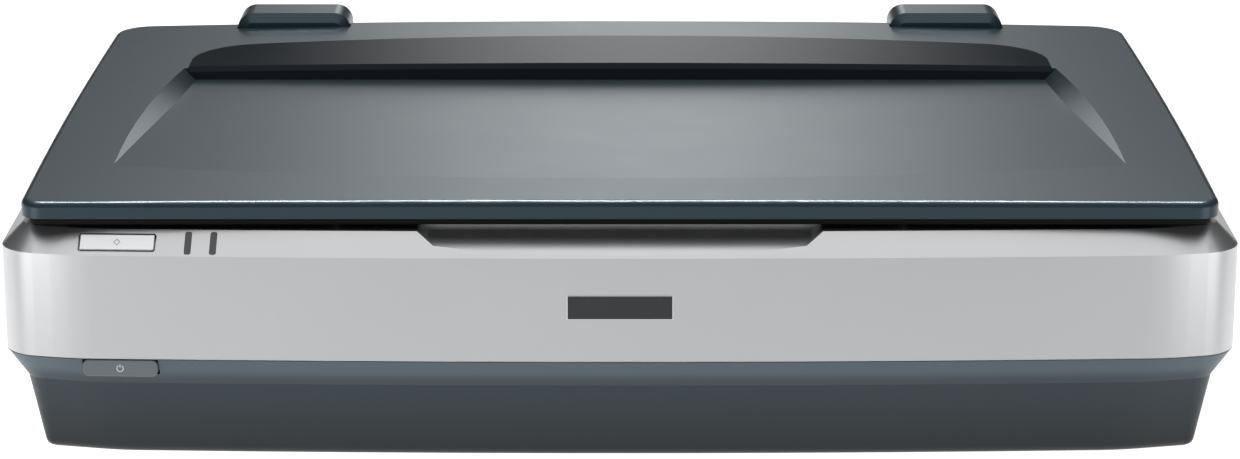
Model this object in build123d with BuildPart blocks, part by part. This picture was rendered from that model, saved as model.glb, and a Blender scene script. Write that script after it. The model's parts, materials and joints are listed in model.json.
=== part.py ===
from build123d import *
import math
import os

# A large-format flatbed scanner, in millimetres. X runs to the right along the front,
# Y runs from the front (-) to the back (+), Z is up, and the rubber feet stand on Z = 0.

os.makedirs("parts", exist_ok=True)

# ---- Driving dimensions: the case -----------------------------------------------------------
CASE_LENGTH = 656.0
CASE_DEPTH = 458.0
FRONT_BOW_RADIUS = 6340.0        # the front is a very shallow arc
FRONT_SHOULDER = 38.0            # length of the turned stretch before each front corner
SHOULDER_SLOPE = 0.23            # and its fall towards the back per mm along X
SHOULDER_ROUND = 110.0
FRONT_CORNER = 24.0
REAR_CORNER = 24.0
FLOOR_Z = 4.0                    # underside of the lower case
FLARE_Z = 46.0                   # where the lower case starts to flare out
PARTING_Z = 62.0                 # where the two case halves meet
CREASE_Z = 119.0                 # where the upper case turns into its chamfer
DECK_Z = 130.5                   # top of the upper case
CHAMFER = DECK_Z - CREASE_Z
RECESS_HALF = (98.0, 106.7)      # the finger recess's half-width, low down and at the deck
RECESS_Z = (119.9, 124.4)        # its lowest height, at the middle and at its low corners
RECESS_REAR_Y = -200.0
LIP_ROLL = 22.0                  # radius of the rolled lip in front of it
FLARE_INSET = 11.0
FOOT_INSET = 19.5                # inset of the lower case at its underside

# ---- Driving dimensions: the scan window and its glass --------------------------------------
WINDOW_Y = -5.0
WINDOW_LENGTH = 450.0
WINDOW_DEPTH = 324.0
GLASS_REBATE = 6.0
GLASS_BOTTOM_Z = 126.5
GLASS_TOP_Z = 129.3
FRAME_BOTTOM_Z = 124.5

# ---- Driving dimensions: the cover ----------------------------------------------------------
COVER_FRONT_Y = -216.0
COVER_REAR_Y = 211.0
COVER_HALF_FRONT = 315.5
COVER_HALF_MIDDLE = 317.0
COVER_HALF_REAR = 314.0
COVER_WALL = 2.6
COVER_SKIRT_Z = 137.0
PAN_BOTTOM_Z = 133.0
PAN_TOP_Z = 135.0
CROWN_HALF = 330.0               # the crown sections reach past the cover's sides
CROWN_SECTIONS = ((-230.0, 145.8, 146.6), (0.0, 146.5, 149.3), (230.0, 147.0, 151.2))
SCOOP_REAR_Y = 89.0
SCOOP_FLOOR_REAR_Z = 141.0
SCOOP_FLOOR_SLOPE = 0.0245       # fall of the scoop's floor per mm towards the back
# the scoop's side wall: place in Y, half-width at the floor's rear height, and spread per mm up
SCOOP_SIDE = ((SCOOP_REAR_Y, 254.0, 1.0), (0.0, 255.5, 2.5), (-132.0, 256.5, 3.3))
VISOR_HALF = 258.5
VISOR_END_Y = 108.0
VISOR_SHOULDER = (226.0, 151.0)
VISOR_REAR_Y = 166.5
VISOR_THICK = 3.0
VISOR_BEVEL = (2.5, 4.5)         # down the front and back over the top

# ---- Driving dimensions: the hinge ----------------------------------------------------------
HINGE_X = 204.0
HINGE_Y = 216.0
HINGE_Z = 145.0
POST_Y = 208.0                   # centre of the post's blade
HINGE_PIN_RADIUS = 3.0

# ---- Driving dimensions: the scan carriage and its drive ------------------------------------
CARRIAGE_X = -238.0              # centre of the carriage at rest
CARRIAGE_HALF = 48.0
CARRIAGE_FRONT_Y = -178.0
CARRIAGE_REAR_Y = 162.0
CARRIAGE_FLOOR_Z = 50.0
CARRIAGE_RIM_Z = 112.0
ROD_Y = -150.0
ROD_Z = 42.0
ROD_RADIUS = 5.0
RAIL_Y = 150.0
RAIL_TOP_Z = 40.0
LENS_Z = 68.0
LENS_RADIUS = 11.0
BELT_Y = -112.0
BELT_BOTTOM_Z = 40.5
BELT_TOP_Z = 46.5
PULLEY_RADIUS = 8.0
BELT_THICK = 1.2
IDLER_X = -270.0
DRIVE_X = 262.0
GEAR_MODULE = 1.0
GEAR_TEETH = 40
PINION_TEETH = 12
MOTOR = (252.0, -88.0)
LOCK_Y = -60.0
LOCK_Z = 88.0

# ---- Driving dimensions: buttons, screws and feet -------------------------------------------
BUTTON_X = -264.2
POWER_Z = 57.1                   # centre height of the power button
CASE_SCREWS = ((-291, -182), (291, -182), (-140, -193), (140, -193),
               (-285, 193), (285, 193), (-130, 193))
COVER_SCREWS = ((-298, -60), (298, -60), (-298, 90), (298, 90),
                (-150, -198), (150, -198), (-285, 185), (285, 185))
FEET = ((-240, -165), (240, -165), (-240, 165), (240, 165))
PLATE_TOP_Z = 9.5                # top of the chassis plate
RUNNING = 0.05                   # radial clearance of a running fit

LOW = (Align.MIN, Align.MIN, Align.MIN)
STAND = (Align.CENTER, Align.CENTER, Align.MIN)


# ---- Helpers --------------------------------------------------------------------------------
def keep(piece, node):
    """Labels a finished piece and writes its file."""
    piece.part.label = node
    export_step(piece.part, f"parts/{node}.step")


def block(low, high, mode=Mode.ADD):
    """A box from its low corner to its high corner."""
    with Locations(tuple(low)):
        Box(high[0] - low[0], high[1] - low[1], high[2] - low[2], align=LOW, mode=mode)


def x_rod(x, y, z, radius, length, mode=Mode.ADD):
    """A cylinder that starts at x and runs along +X."""
    with Locations((x, y, z)):
        Cylinder(radius, length, rotation=(0, 90, 0), align=STAND, mode=mode)


def z_rod(x, y, z, radius, length, mode=Mode.ADD):
    """A cylinder that starts at z and runs up."""
    with Locations((x, y, z)):
        Cylinder(radius, length, align=STAND, mode=mode)


def case_outline(inset, z):
    """The case's plan outline at height z, drawn in by inset."""
    half = CASE_LENGTH / 2 - inset
    front = -CASE_DEPTH / 2 + inset
    rear = CASE_DEPTH / 2 - inset
    shoulder = half - FRONT_SHOULDER
    shoulder_y = front + shoulder ** 2 / (2 * (FRONT_BOW_RADIUS - inset))
    corner_y = shoulder_y + FRONT_SHOULDER * SHOULDER_SLOPE
    with BuildSketch(Plane.XY.offset(z)) as outline:
        with BuildLine():
            ThreePointArc((-shoulder, shoulder_y), (0, front), (shoulder, shoulder_y))
            Polyline((shoulder, shoulder_y), (half, corner_y), (half, rear),
                     (-half, rear), (-half, corner_y), (-shoulder, shoulder_y))
        make_face()
        fillet(outline.vertices().group_by(Axis.Y)[-1], max(REAR_CORNER - inset, 4))
        fillet(outline.vertices().group_by(Axis.Y)[1], max(FRONT_CORNER - inset, 4))
        fillet(outline.vertices().group_by(Axis.Y)[0], SHOULDER_ROUND)
    return outline.sketch


def case_block(*levels):
    """A solid through the case outlines given as (z, inset) pairs."""
    with BuildPart() as shape:
        loft(sections=[case_outline(inset, z).face() for z, inset in levels], ruled=True)
    return shape.part


def chamfer_plane(x):
    """The plane on the middle of the case's front chamfer at x; its normal points out."""
    radius = FRONT_BOW_RADIUS - CHAMFER / 2
    turn = math.asin(x / radius)
    slope = math.sqrt(0.5)
    y = -CASE_DEPTH / 2 + FRONT_BOW_RADIUS - radius * math.cos(turn)
    return Plane(origin=(x, y, CREASE_Z + CHAMFER / 2),
                 x_dir=(math.cos(turn), math.sin(turn), 0),
                 z_dir=(math.sin(turn) * slope, -math.cos(turn) * slope, slope))


def front_plane(x, inset):
    """The upright plane that touches the case's front at x; its normal points out."""
    radius = FRONT_BOW_RADIUS - inset
    turn = math.asin(x / radius)
    y = -CASE_DEPTH / 2 + FRONT_BOW_RADIUS - radius * math.cos(turn)
    return Plane(origin=(x, y, 0), x_dir=(math.cos(turn), math.sin(turn), 0),
                 z_dir=(math.sin(turn), -math.cos(turn), 0))


def on_plane(plane, width, height, near, far, rounding=0.0, shift=(0, 0), mode=Mode.ADD):
    """A rounded bar that runs from near to far along the plane's normal."""
    with BuildSketch(plane.offset(near)) as face:
        with Locations(shift):
            if rounding:
                RectangleRounded(width, height, rounding)
            else:
                Rectangle(width, height)
    return extrude(face.sketch, amount=far - near, mode=mode)


def finger_recess(grow):
    """The finger recess in the front edge, behind a rolled lip, enlarged all round by grow."""
    half_low, half_top = RECESS_HALF
    middle_z, low_z = RECESS_Z
    above = 5
    with BuildPart() as recess:
        with BuildSketch(Plane.XZ.offset(-RECESS_REAR_Y - grow)):
            with BuildLine():
                ThreePointArc((-half_low, low_z), (0, middle_z), (half_low, low_z))
                Polyline((half_low, low_z), (half_top, DECK_Z), (half_top + above, DECK_Z + above),
                         (-half_top - above, DECK_Z + above), (-half_top, DECK_Z), (-half_low, low_z))
            make_face()
            if grow:
                offset(amount=grow, kind=Kind.INTERSECTION)
        extrude(amount=60)
        # the lip leaves the chamfer along its slope and rolls over until it is level
        radius = LIP_ROLL - grow
        centre_y = -CASE_DEPTH / 2 + 1 + LIP_ROLL * math.sqrt(0.5)
        centre_z = CREASE_Z + 1 - LIP_ROLL * math.sqrt(0.5)
        behind_y = centre_y + 40
        below_z = centre_z - 20
        with BuildSketch(Plane.YZ.offset(-130)):
            with BuildLine():
                roll = JernArc((centre_y, centre_z + radius), (-1, 0), radius, 45)
                front = roll @ 1
                Polyline(front, (front.X - 30, front.Y - 30), (front.X - 30, below_z), (behind_y, below_z),
                         (behind_y, centre_z + radius), roll @ 0)
            make_face()
        extrude(amount=260, mode=Mode.SUBTRACT)
    return recess.part


def gear_outline(teeth, module, thinning):
    """The outline of a spur gear with straight-sided teeth."""
    pitch = teeth * module / 2
    tip = pitch + 0.9 * module
    root = pitch - 1.2 * module
    step = 2 * math.pi / teeth
    points = []
    for tooth in range(teeth):
        middle = tooth * step
        for radius, share in ((root, 0.34), (pitch, 0.25), (tip, 0.13)):
            points.append((radius, middle - share * step + thinning / radius))
        for radius, share in ((tip, 0.13), (pitch, 0.25), (root, 0.34)):
            points.append((radius, middle + share * step - thinning / radius))
    return [(radius * math.cos(angle), radius * math.sin(angle)) for radius, angle in points]


def gear(teeth, module, thinning, turn, height):
    """A spur gear about the Z axis, turned by turn degrees, standing on Z = 0."""
    with BuildPart() as wheel:
        with BuildSketch():
            with Locations(Rotation(0, 0, turn)):
                Polygon(*gear_outline(teeth, module, thinning), align=None)
        extrude(amount=height)
    return wheel.part


# ---- Upper case: the silver shell with the scan window --------------------------------------
start_plane = chamfer_plane(BUTTON_X)
LIGHTS_X = (-226.8, -213.5)
BUTTON = (39.2, 9.2)
BUTTON_HOLE = (41.2, 11.0)
LIGHT_HOLE = (3.6, 13.8)
BADGE_Z = 92.3
BOSS_BOTTOM_Z = 40.1
with BuildPart() as upper_case:
    add(case_block((PARTING_Z, 0.9), (PARTING_Z + 0.5, 0.4), (CREASE_Z, 0), (DECK_Z, CHAMFER)))
    add(case_block((PARTING_Z - 1, 3.0), (118, 2.5), (128, 12.5)), mode=Mode.SUBTRACT)
    add(finger_recess(2.5) & case_block((PARTING_Z, 0.5), (CREASE_Z, 0), (DECK_Z, CHAMFER)))
    for x, y in CASE_SCREWS:
        z_rod(x, y, BOSS_BOTTOM_Z, 4, 128.5 - BOSS_BOTTOM_Z)
        z_rod(x, y, BOSS_BOTTOM_Z, 1.45, 20, Mode.SUBTRACT)
    add(finger_recess(0), mode=Mode.SUBTRACT)
    with Locations((0, WINDOW_Y, 120)):
        Box(WINDOW_LENGTH, WINDOW_DEPTH, 20, align=STAND, mode=Mode.SUBTRACT)
        Box(WINDOW_LENGTH + 2 * GLASS_REBATE, WINDOW_DEPTH + 2 * GLASS_REBATE,
            GLASS_TOP_Z - 120, align=STAND, mode=Mode.SUBTRACT)
    # a shallow seat for the ruler strips along the window's left and front edges
    strip_x = -WINDOW_LENGTH / 2 - 1
    strip_y = WINDOW_Y - WINDOW_DEPTH / 2 - 1
    rear_y = WINDOW_Y + WINDOW_DEPTH / 2
    block((strip_x - 8, strip_y - 8, DECK_Z - 0.5), (strip_x, rear_y, DECK_Z + 1), Mode.SUBTRACT)
    block((strip_x - 8, strip_y - 8, DECK_Z - 0.5), (-strip_x, strip_y, DECK_Z + 1), Mode.SUBTRACT)
    on_plane(start_plane, *BUTTON_HOLE, -6, 3, 1.6, mode=Mode.SUBTRACT)
    for x in LIGHTS_X:
        on_plane(chamfer_plane(x), *LIGHT_HOLE, -6, 3, 1.2, mode=Mode.SUBTRACT)
    block((-28, -229.5, BADGE_Z - 6.75), (28, -228.2, BADGE_Z + 6.75), Mode.SUBTRACT)
    for side in (-1, 1):
        block((side * HINGE_X - 15.3, POST_Y - 5.3, 120),
              (side * HINGE_X + 15.3, POST_Y + 5.3, 140), Mode.SUBTRACT)
    # round pocket in the left side for the transport lock
    x_rod(-327, LOCK_Y, LOCK_Z, 15, 6.5)
    x_rod(-330, LOCK_Y, LOCK_Z, 12, 6.4, Mode.SUBTRACT)
    x_rod(-330, LOCK_Y, LOCK_Z, 4 + RUNNING, 12, Mode.SUBTRACT)
keep(upper_case, "upper_case")

# ---- Lower case: the dark tub ---------------------------------------------------------------
LIP_INSET = 3.15
PORTS_X = (-45.0, 232.0)
PORTS_Z = (12.0, 44.0)
POWER_PLANE = front_plane(BUTTON_X, 0.5)
DRAFT = math.atan2(FOOT_INSET - FLARE_INSET, FLARE_Z - FLOOR_Z)
FLOOR_ROUND = 6.0


def floor_round_levels(steps):
    """Levels (z, inset) round the lower case's bottom edge, from the floor up to the wall."""
    centre_inset = FOOT_INSET + FLOOR_ROUND * (1 / math.cos(DRAFT) - math.tan(DRAFT))
    turns = [(math.pi / 2 - DRAFT) * step / steps for step in range(steps + 1)]
    return [(FLOOR_Z + FLOOR_ROUND * (1 - math.cos(turn)), centre_inset - FLOOR_ROUND * math.sin(turn))
            for turn in turns]


with BuildPart() as lower_case:
    add(case_block(*floor_round_levels(6), (FLARE_Z, FLARE_INSET), (PARTING_Z, 0.5)))
    add(case_block((6.5, FOOT_INSET + 2.5), (FLARE_Z + 1, FLARE_INSET + 2.9), (PARTING_Z + 0.1, 4.0)),
        mode=Mode.SUBTRACT)
    lip = case_block((60.2, LIP_INSET), (66, LIP_INSET)) - case_block((60, 5.0), (67, 5.0))
    add(lip)
    for x, y in CASE_SCREWS:
        z_rod(x, y, FLOOR_Z, 6, 36)
    for x, y in CASE_SCREWS:
        z_rod(x, y, FLOOR_Z, 3.5, 28, Mode.SUBTRACT)
        z_rod(x, y, FLOOR_Z, 1.7, 40, Mode.SUBTRACT)
    for x, y in FEET:
        z_rod(x, y, 0, 3.1, 10, Mode.SUBTRACT)
    # standoffs under the chassis plate
    for x in (-270, 0, 270):
        for y in (-176, 0, 178):
            z_rod(x, y, 6, 5, 2)
    on_plane(POWER_PLANE, 40.4, 9.8, -20, 5, shift=(0, POWER_Z), mode=Mode.SUBTRACT)
    block((PORTS_X[0], 195, PORTS_Z[0]), (PORTS_X[1], 235, PORTS_Z[1]), Mode.SUBTRACT)
    with BuildSketch(Plane.XZ.offset(-195)):
        with Locations((-220, 28)):
            with GridLocations(8, 0, 14, 1):
                SlotOverall(24, 3, rotation=90)
    extrude(amount=-40, mode=Mode.SUBTRACT)
    with BuildSketch(Plane.XY.offset(3)):
        with Locations((190, 60), (-190, 60)):
            with GridLocations(0, 8, 1, 10):
                SlotOverall(60, 3)
    extrude(amount=5, mode=Mode.SUBTRACT)
keep(lower_case, "lower_case")

# ---- Rubber feet and case screws ------------------------------------------------------------
with BuildPart() as rubber_feet:
    for x, y in FEET:
        z_rod(x, y, 0, 10, FLOOR_Z)
    fillet(rubber_feet.edges().filter_by(GeomType.CIRCLE).group_by(Axis.Z)[0], 1.2)
    for x, y in FEET:
        z_rod(x, y, FLOOR_Z, 3, 4)
        z_rod(x, y, 6.6, 3.8, 1.6)
keep(rubber_feet, "rubber_feet")

with BuildPart() as case_screws:
    for x, y in CASE_SCREWS:
        z_rod(x, y, 29.0, 3.0, 3.0)
        z_rod(x, y, 32.0, 1.4, 18.0)
    for x, y in CASE_SCREWS:
        block((x - 2, y - 0.4, 28), (x + 2, y + 0.4, 30.2), Mode.SUBTRACT)
        block((x - 0.4, y - 2, 28), (x + 0.4, y + 2, 30.2), Mode.SUBTRACT)
keep(case_screws, "case_screws")

# ---- Glass, its frame, the white strip under it and the ruler strips ------------------------
GLASS_LENGTH = WINDOW_LENGTH + 2 * GLASS_REBATE - 0.4
GLASS_DEPTH = WINDOW_DEPTH + 2 * GLASS_REBATE - 0.4
with BuildPart() as document_glass:
    with Locations((0, WINDOW_Y, GLASS_BOTTOM_Z)):
        Box(GLASS_LENGTH, GLASS_DEPTH, GLASS_TOP_Z - GLASS_BOTTOM_Z, align=STAND)
keep(document_glass, "document_glass")

with BuildPart() as glass_frame:
    with Locations((0, WINDOW_Y, FRAME_BOTTOM_Z)):
        Box(500, 364, 128 - FRAME_BOTTOM_Z, align=STAND)
        Box(WINDOW_LENGTH + 2, WINDOW_DEPTH + 2, 10, align=STAND, mode=Mode.SUBTRACT)
    with Locations((0, WINDOW_Y, GLASS_BOTTOM_Z)):
        Box(GLASS_LENGTH + 0.8, GLASS_DEPTH + 0.8, 10, align=STAND, mode=Mode.SUBTRACT)
keep(glass_frame, "glass_frame")

with BuildPart() as calibration_strip:
    with Locations((-221.2, WINDOW_Y, GLASS_BOTTOM_Z - 0.4)):
        Box(8.5, 320, 0.4, align=STAND)
keep(calibration_strip, "calibration_strip")

with BuildPart() as ruler_strips:
    gap = 0.2
    low = (strip_x - 8 + gap, strip_y - 8 + gap, DECK_Z - 0.5)
    block(low, (strip_x - gap, rear_y - gap, DECK_Z))
    block(low, (-strip_x - gap, strip_y - gap, DECK_Z))
keep(ruler_strips, "ruler_strips")

# ---- Badge plate, blank ---------------------------------------------------------------------
with BuildPart() as badge_plate:
    block((-27.7, -229.0, BADGE_Z - 6.5), (27.7, -228.2, BADGE_Z + 6.5))
    chamfer(badge_plate.faces().sort_by(Axis.Y)[0].edges(), 0.25)
keep(badge_plate, "badge_plate")

# ---- Start button on the chamfer ------------------------------------------------------------
with BuildPart() as start_button:
    on_plane(start_plane, *BUTTON, -4.4, 0.4, 0.9)
    fillet(start_button.faces().sort_by(Axis.Z)[-1].edges(), 0.35)
    on_plane(start_plane, BUTTON_HOLE[0] + 2.4, BUTTON_HOLE[1] + 0.8, -5.1, -4.0, 0.9)
    with BuildSketch(start_plane.offset(-6.2)):
        Circle(2)
    extrude(amount=3)
keep(start_button, "start_button")

# ---- Power button in the flared band --------------------------------------------------------
with BuildPart() as power_button:
    with BuildSketch(POWER_PLANE.offset(-13.5)) as face:
        with Locations((0, POWER_Z)):
            Rectangle(39.6, 9.0)
        fillet(face.vertices().group_by(Axis.Z)[0], 3)
    extrude(amount=13.5)
    fillet(power_button.faces().sort_by(Axis.Y)[0].edges(), 0.6)
    on_plane(POWER_PLANE, 46, 7.5, -16.2, -14.2, shift=(0, POWER_Z))
    on_plane(POWER_PLANE, 39.6, 6, -14.4, -13.4, shift=(0, POWER_Z))
    with BuildSketch(POWER_PLANE.offset(-18.2)):
        with Locations((0, POWER_Z)):
            Circle(2)
    extrude(amount=3)
keep(power_button, "power_button")

# ---- Status light bars and the small boards behind the buttons ------------------------------
with BuildPart() as status_lights:
    for x in LIGHTS_X:
        on_plane(chamfer_plane(x), LIGHT_HOLE[0] - 0.3, LIGHT_HOLE[1] - 0.3, -7, 0.15, 1.0)
keep(status_lights, "status_lights")

BOARD_PLANE = chamfer_plane(-241)
with BuildPart() as panel_boards:
    on_plane(BOARD_PLANE, 84, 16, -11.4, -9.8)
    on_plane(start_plane, 6, 6, -9.9, -8.2)
    for x in LIGHTS_X:
        on_plane(chamfer_plane(x), 3, 5, -10.0, -8.4)
    on_plane(POWER_PLANE, 60, 14, -23.4, -21.8, shift=(0, POWER_Z))
    on_plane(POWER_PLANE, 6, 6, -21.9, -20.2, shift=(0, POWER_Z))
keep(panel_boards, "panel_boards")

# ---- Chassis plate, end brackets, guide rod and slide rail ----------------------------------
with BuildPart() as chassis_plate:
    block((-295, -184, 8), (295, 185, PLATE_TOP_Z))
    for x in (-300, 280):
        block((x, -190, 7), (x + 20, -172, 12), Mode.SUBTRACT)
    for x, y in FEET:
        z_rod(x, y, 7, 6, 4, Mode.SUBTRACT)
keep(chassis_plate, "chassis_plate")

BRACKET_X = 292.0
for side, node in ((-1, "end_bracket_left"), (1, "end_bracket_right")):
    inner = side * BRACKET_X
    outer = side * (BRACKET_X + 2)
    foot = side * (BRACKET_X - 12)
    with BuildPart() as end_bracket:
        block((min(inner, outer), -170, PLATE_TOP_Z), (max(inner, outer), 165, 48))
        block((min(inner, outer) - 1, -125, 30), (max(inner, outer) + 1, 135, 50), Mode.SUBTRACT)
        for y in (-165, 140):
            block((min(foot, inner), y, PLATE_TOP_Z), (max(foot, inner), y + 20, PLATE_TOP_Z + 2))
        x_rod(min(inner, outer) - 1, ROD_Y, ROD_Z, ROD_RADIUS + 0.02, 4, Mode.SUBTRACT)
    keep(end_bracket, node)

with BuildPart() as guide_rod:
    x_rod(-296, ROD_Y, ROD_Z, ROD_RADIUS, 592)
    chamfer(guide_rod.edges().filter_by(GeomType.CIRCLE), 0.6)
keep(guide_rod, "guide_rod")

with BuildPart() as slide_rail:
    block((-BRACKET_X, RAIL_Y - 7, RAIL_TOP_Z - 1.5), (BRACKET_X, RAIL_Y + 7, RAIL_TOP_Z))
    block((-BRACKET_X, RAIL_Y - 7, 30), (BRACKET_X, RAIL_Y - 5.5, RAIL_TOP_Z))
keep(slide_rail, "slide_rail")

# ---- Drive: motor, pinion, gear with pulley, belt and idler ---------------------------------
STUD_RADIUS = 2.5
with BuildPart() as motor_bracket:
    block((230, -136, 32), (284.5, -65, 33.5))
    for x in (228.5, 284.5):
        block((x, -136, PLATE_TOP_Z), (x + 1.5, -65, 33.5))
    z_rod(*MOTOR, 31, 11, 4, Mode.SUBTRACT)
    z_rod(DRIVE_X, BELT_Y, 32, STUD_RADIUS, 17.5)
keep(motor_bracket, "motor_bracket")

with BuildPart() as scan_motor:
    with BuildSketch(Plane.XY.offset(PLATE_TOP_Z + 1)):
        with Locations(MOTOR):
            RectangleRounded(42, 42, 4)
    extrude(amount=32 - PLATE_TOP_Z - 1)
    z_rod(*MOTOR, 31.5, 10.9, 2)
    z_rod(*MOTOR, 20, STUD_RADIUS + RUNNING, 20, Mode.SUBTRACT)
    for x in (-15.5, 15.5):
        z_rod(MOTOR[0] + x, MOTOR[1] - 15.5, 29, 1.5, 4, Mode.SUBTRACT)
keep(scan_motor, "scan_motor")

centre_turn = math.degrees(math.atan2(BELT_Y - MOTOR[1], DRIVE_X - MOTOR[0]))
with BuildPart() as motor_pinion:
    with Locations((*MOTOR, 34.5)):
        add(gear(PINION_TEETH, GEAR_MODULE, 0.06, centre_turn + 180 / PINION_TEETH, 6))
    z_rod(*MOTOR, 21, STUD_RADIUS, 20.5)
keep(motor_pinion, "motor_pinion")

with BuildPart() as drive_gear:
    with Locations((DRIVE_X, BELT_Y, 34.3)):
        add(gear(GEAR_TEETH, GEAR_MODULE, 0.06, centre_turn + 180, 4.8))
    z_rod(DRIVE_X, BELT_Y, 39.1, PULLEY_RADIUS + 2, 1.0)
    z_rod(DRIVE_X, BELT_Y, 40.1, PULLEY_RADIUS, 6.8)
    z_rod(DRIVE_X, BELT_Y, 46.9, PULLEY_RADIUS + 2, 1.0)
    z_rod(DRIVE_X, BELT_Y, 30, STUD_RADIUS + RUNNING, 20, Mode.SUBTRACT)
keep(drive_gear, "drive_gear")

with BuildPart() as idler_pulley:
    z_rod(IDLER_X, BELT_Y, 39.1, PULLEY_RADIUS + 2, 1.0)
    z_rod(IDLER_X, BELT_Y, 40.1, PULLEY_RADIUS, 6.8)
    z_rod(IDLER_X, BELT_Y, 46.9, PULLEY_RADIUS + 2, 1.0)
    z_rod(IDLER_X, BELT_Y, 38, STUD_RADIUS + RUNNING, 12, Mode.SUBTRACT)
keep(idler_pulley, "idler_pulley")

with BuildPart() as idler_bracket:
    block((IDLER_X - 6, BELT_Y - 12, PLATE_TOP_Z), (IDLER_X + 24, BELT_Y + 12, PLATE_TOP_Z + 2))
    z_rod(IDLER_X, BELT_Y, PLATE_TOP_Z, 4.5, 29.2)
    z_rod(IDLER_X, BELT_Y, 38, STUD_RADIUS, 11.5)
    block((IDLER_X + 22, BELT_Y - 3, PLATE_TOP_Z), (IDLER_X + 24, BELT_Y + 3, 22))
keep(idler_bracket, "idler_bracket")

with BuildPart() as belt_spring:
    # a tension spring: hooked ends, with its close coils as rings
    coil_x, coils, wire = IDLER_X + 27, 12, 1.2
    spring_z = 18.0
    with BuildSketch(Plane.XZ.offset(-BELT_Y)) as coil_section:
        with BuildLine():
            edge = [(coil_x - 3, spring_z), (coil_x - 3, spring_z + 0.6)]
            for n in range(coils):
                edge += [(coil_x + n * wire, spring_z + 2.4), (coil_x + (n + 0.5) * wire, spring_z + 3.0)]
            edge += [(coil_x + coils * wire, spring_z + 2.4), (coil_x + coils * wire + 3, spring_z + 0.6),
                     (coil_x + coils * wire + 3, spring_z)]
            Polyline(*edge, close=True)
        make_face()
    revolve(axis=Axis((0, BELT_Y, spring_z), (1, 0, 0)))
keep(belt_spring, "belt_spring")

with BuildPart() as drive_belt:
    inner_radius = PULLEY_RADIUS + RUNNING
    with BuildSketch(Plane.XY.offset(BELT_BOTTOM_Z)):
        with Locations(((IDLER_X + DRIVE_X) / 2, BELT_Y)):
            SlotCenterToCenter(DRIVE_X - IDLER_X, 2 * (inner_radius + BELT_THICK))
            SlotCenterToCenter(DRIVE_X - IDLER_X, 2 * inner_radius, mode=Mode.SUBTRACT)
    extrude(amount=BELT_TOP_Z - BELT_BOTTOM_Z)
keep(drive_belt, "drive_belt")

with BuildPart() as home_sensor:
    block((-289, -84, PLATE_TOP_Z), (-277, -58, PLATE_TOP_Z + 2))
    block((-286, -75, PLATE_TOP_Z), (-280, -65, 38))
    block((-286, -75, 38), (-280, -72.5, 46))
    block((-286, -67.5, 38), (-280, -65, 46))
keep(home_sensor, "home_sensor")

# ---- Boards, connector panel and sockets ----------------------------------------------------
BOARD_Z = 14.0
BOARD_TOP_Z = 15.6
with BuildPart() as main_board:
    block((-60, -50, BOARD_Z), (125, 198, BOARD_TOP_Z))
    for x in (-54, 119):
        for y in (-44, 168):
            z_rod(x, y, PLATE_TOP_Z, 3, BOARD_Z - PLATE_TOP_Z)
    block((-12, -42, BOARD_TOP_Z), (8, -14, BOARD_TOP_Z + 4))
    block((20, 20, BOARD_TOP_Z), (54, 54, BOARD_TOP_Z + 2.4))
    block((-30, 60, BOARD_TOP_Z), (-6, 84, BOARD_TOP_Z + 2.0))
    for n in range(4):
        block((20 + 16 * n, 76, BOARD_TOP_Z), (31 + 16 * n, 94, BOARD_TOP_Z + 1.2))
    for n in range(5):
        z_rod(-40 + 14 * n, 120, BOARD_TOP_Z, 4, 9)
    block((70, -30, BOARD_TOP_Z), (112, -20, BOARD_TOP_Z + 7))
keep(main_board, "main_board")

with BuildPart() as power_supply:
    block((140, 50, BOARD_Z), (262, 190, BOARD_TOP_Z))
    for x in (146, 256):
        for y in (56, 168):
            z_rod(x, y, PLATE_TOP_Z, 3, BOARD_Z - PLATE_TOP_Z)
    block((160, 90, BOARD_TOP_Z), (192, 122, BOARD_TOP_Z + 12))
    z_rod(222, 100, BOARD_TOP_Z, 9, 13)
    z_rod(244, 78, BOARD_TOP_Z, 6, 12)
    block((205, 130, BOARD_TOP_Z), (208, 165, BOARD_TOP_Z + 12))
    block((168, 140, BOARD_TOP_Z), (190, 156, BOARD_TOP_Z + 10))
keep(power_supply, "power_supply")

PANEL_FRONT_Y = 203.5
PANEL_REAR_Y = 205.0
INLET = (205.0, 28.0)
USB = (60.0, 24.0)
FIREWIRE_X = (18.0, 38.0)
OPTION_X = -14.0
with BuildPart() as connector_panel:
    block((-43, PANEL_FRONT_Y, PLATE_TOP_Z), (230, PANEL_REAR_Y, 46))
    block((-43, 175, PLATE_TOP_Z), (230, PANEL_REAR_Y, 11.0))
    block((INLET[0] - 13.6, 200, INLET[1] - 9.9), (INLET[0] + 13.6, 210, INLET[1] + 9.9), Mode.SUBTRACT)
    block((USB[0] - 6.3, 190, USB[1] - 5.8), (USB[0] + 6.3, 210, USB[1] + 5.8), Mode.SUBTRACT)
    for x in FIREWIRE_X:
        block((x - 6.3, 190, USB[1] - 3.7), (x + 6.3, 210, USB[1] + 3.7), Mode.SUBTRACT)
    block((OPTION_X - 18.3, 190, USB[1] - 5.3), (OPTION_X + 18.3, 210, USB[1] + 5.3), Mode.SUBTRACT)
keep(connector_panel, "connector_panel")


def socket(x, z, width, height, wall, depth, rear_y):
    """A rectangular socket body, open at the back, with its mouth at rear_y."""
    block((x - width / 2, rear_y - depth, z - height / 2), (x + width / 2, rear_y, z + height / 2))
    block((x - width / 2 + wall, rear_y - depth + wall, z - height / 2 + wall),
          (x + width / 2 - wall, rear_y + 1, z + height / 2 - wall), Mode.SUBTRACT)


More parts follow.
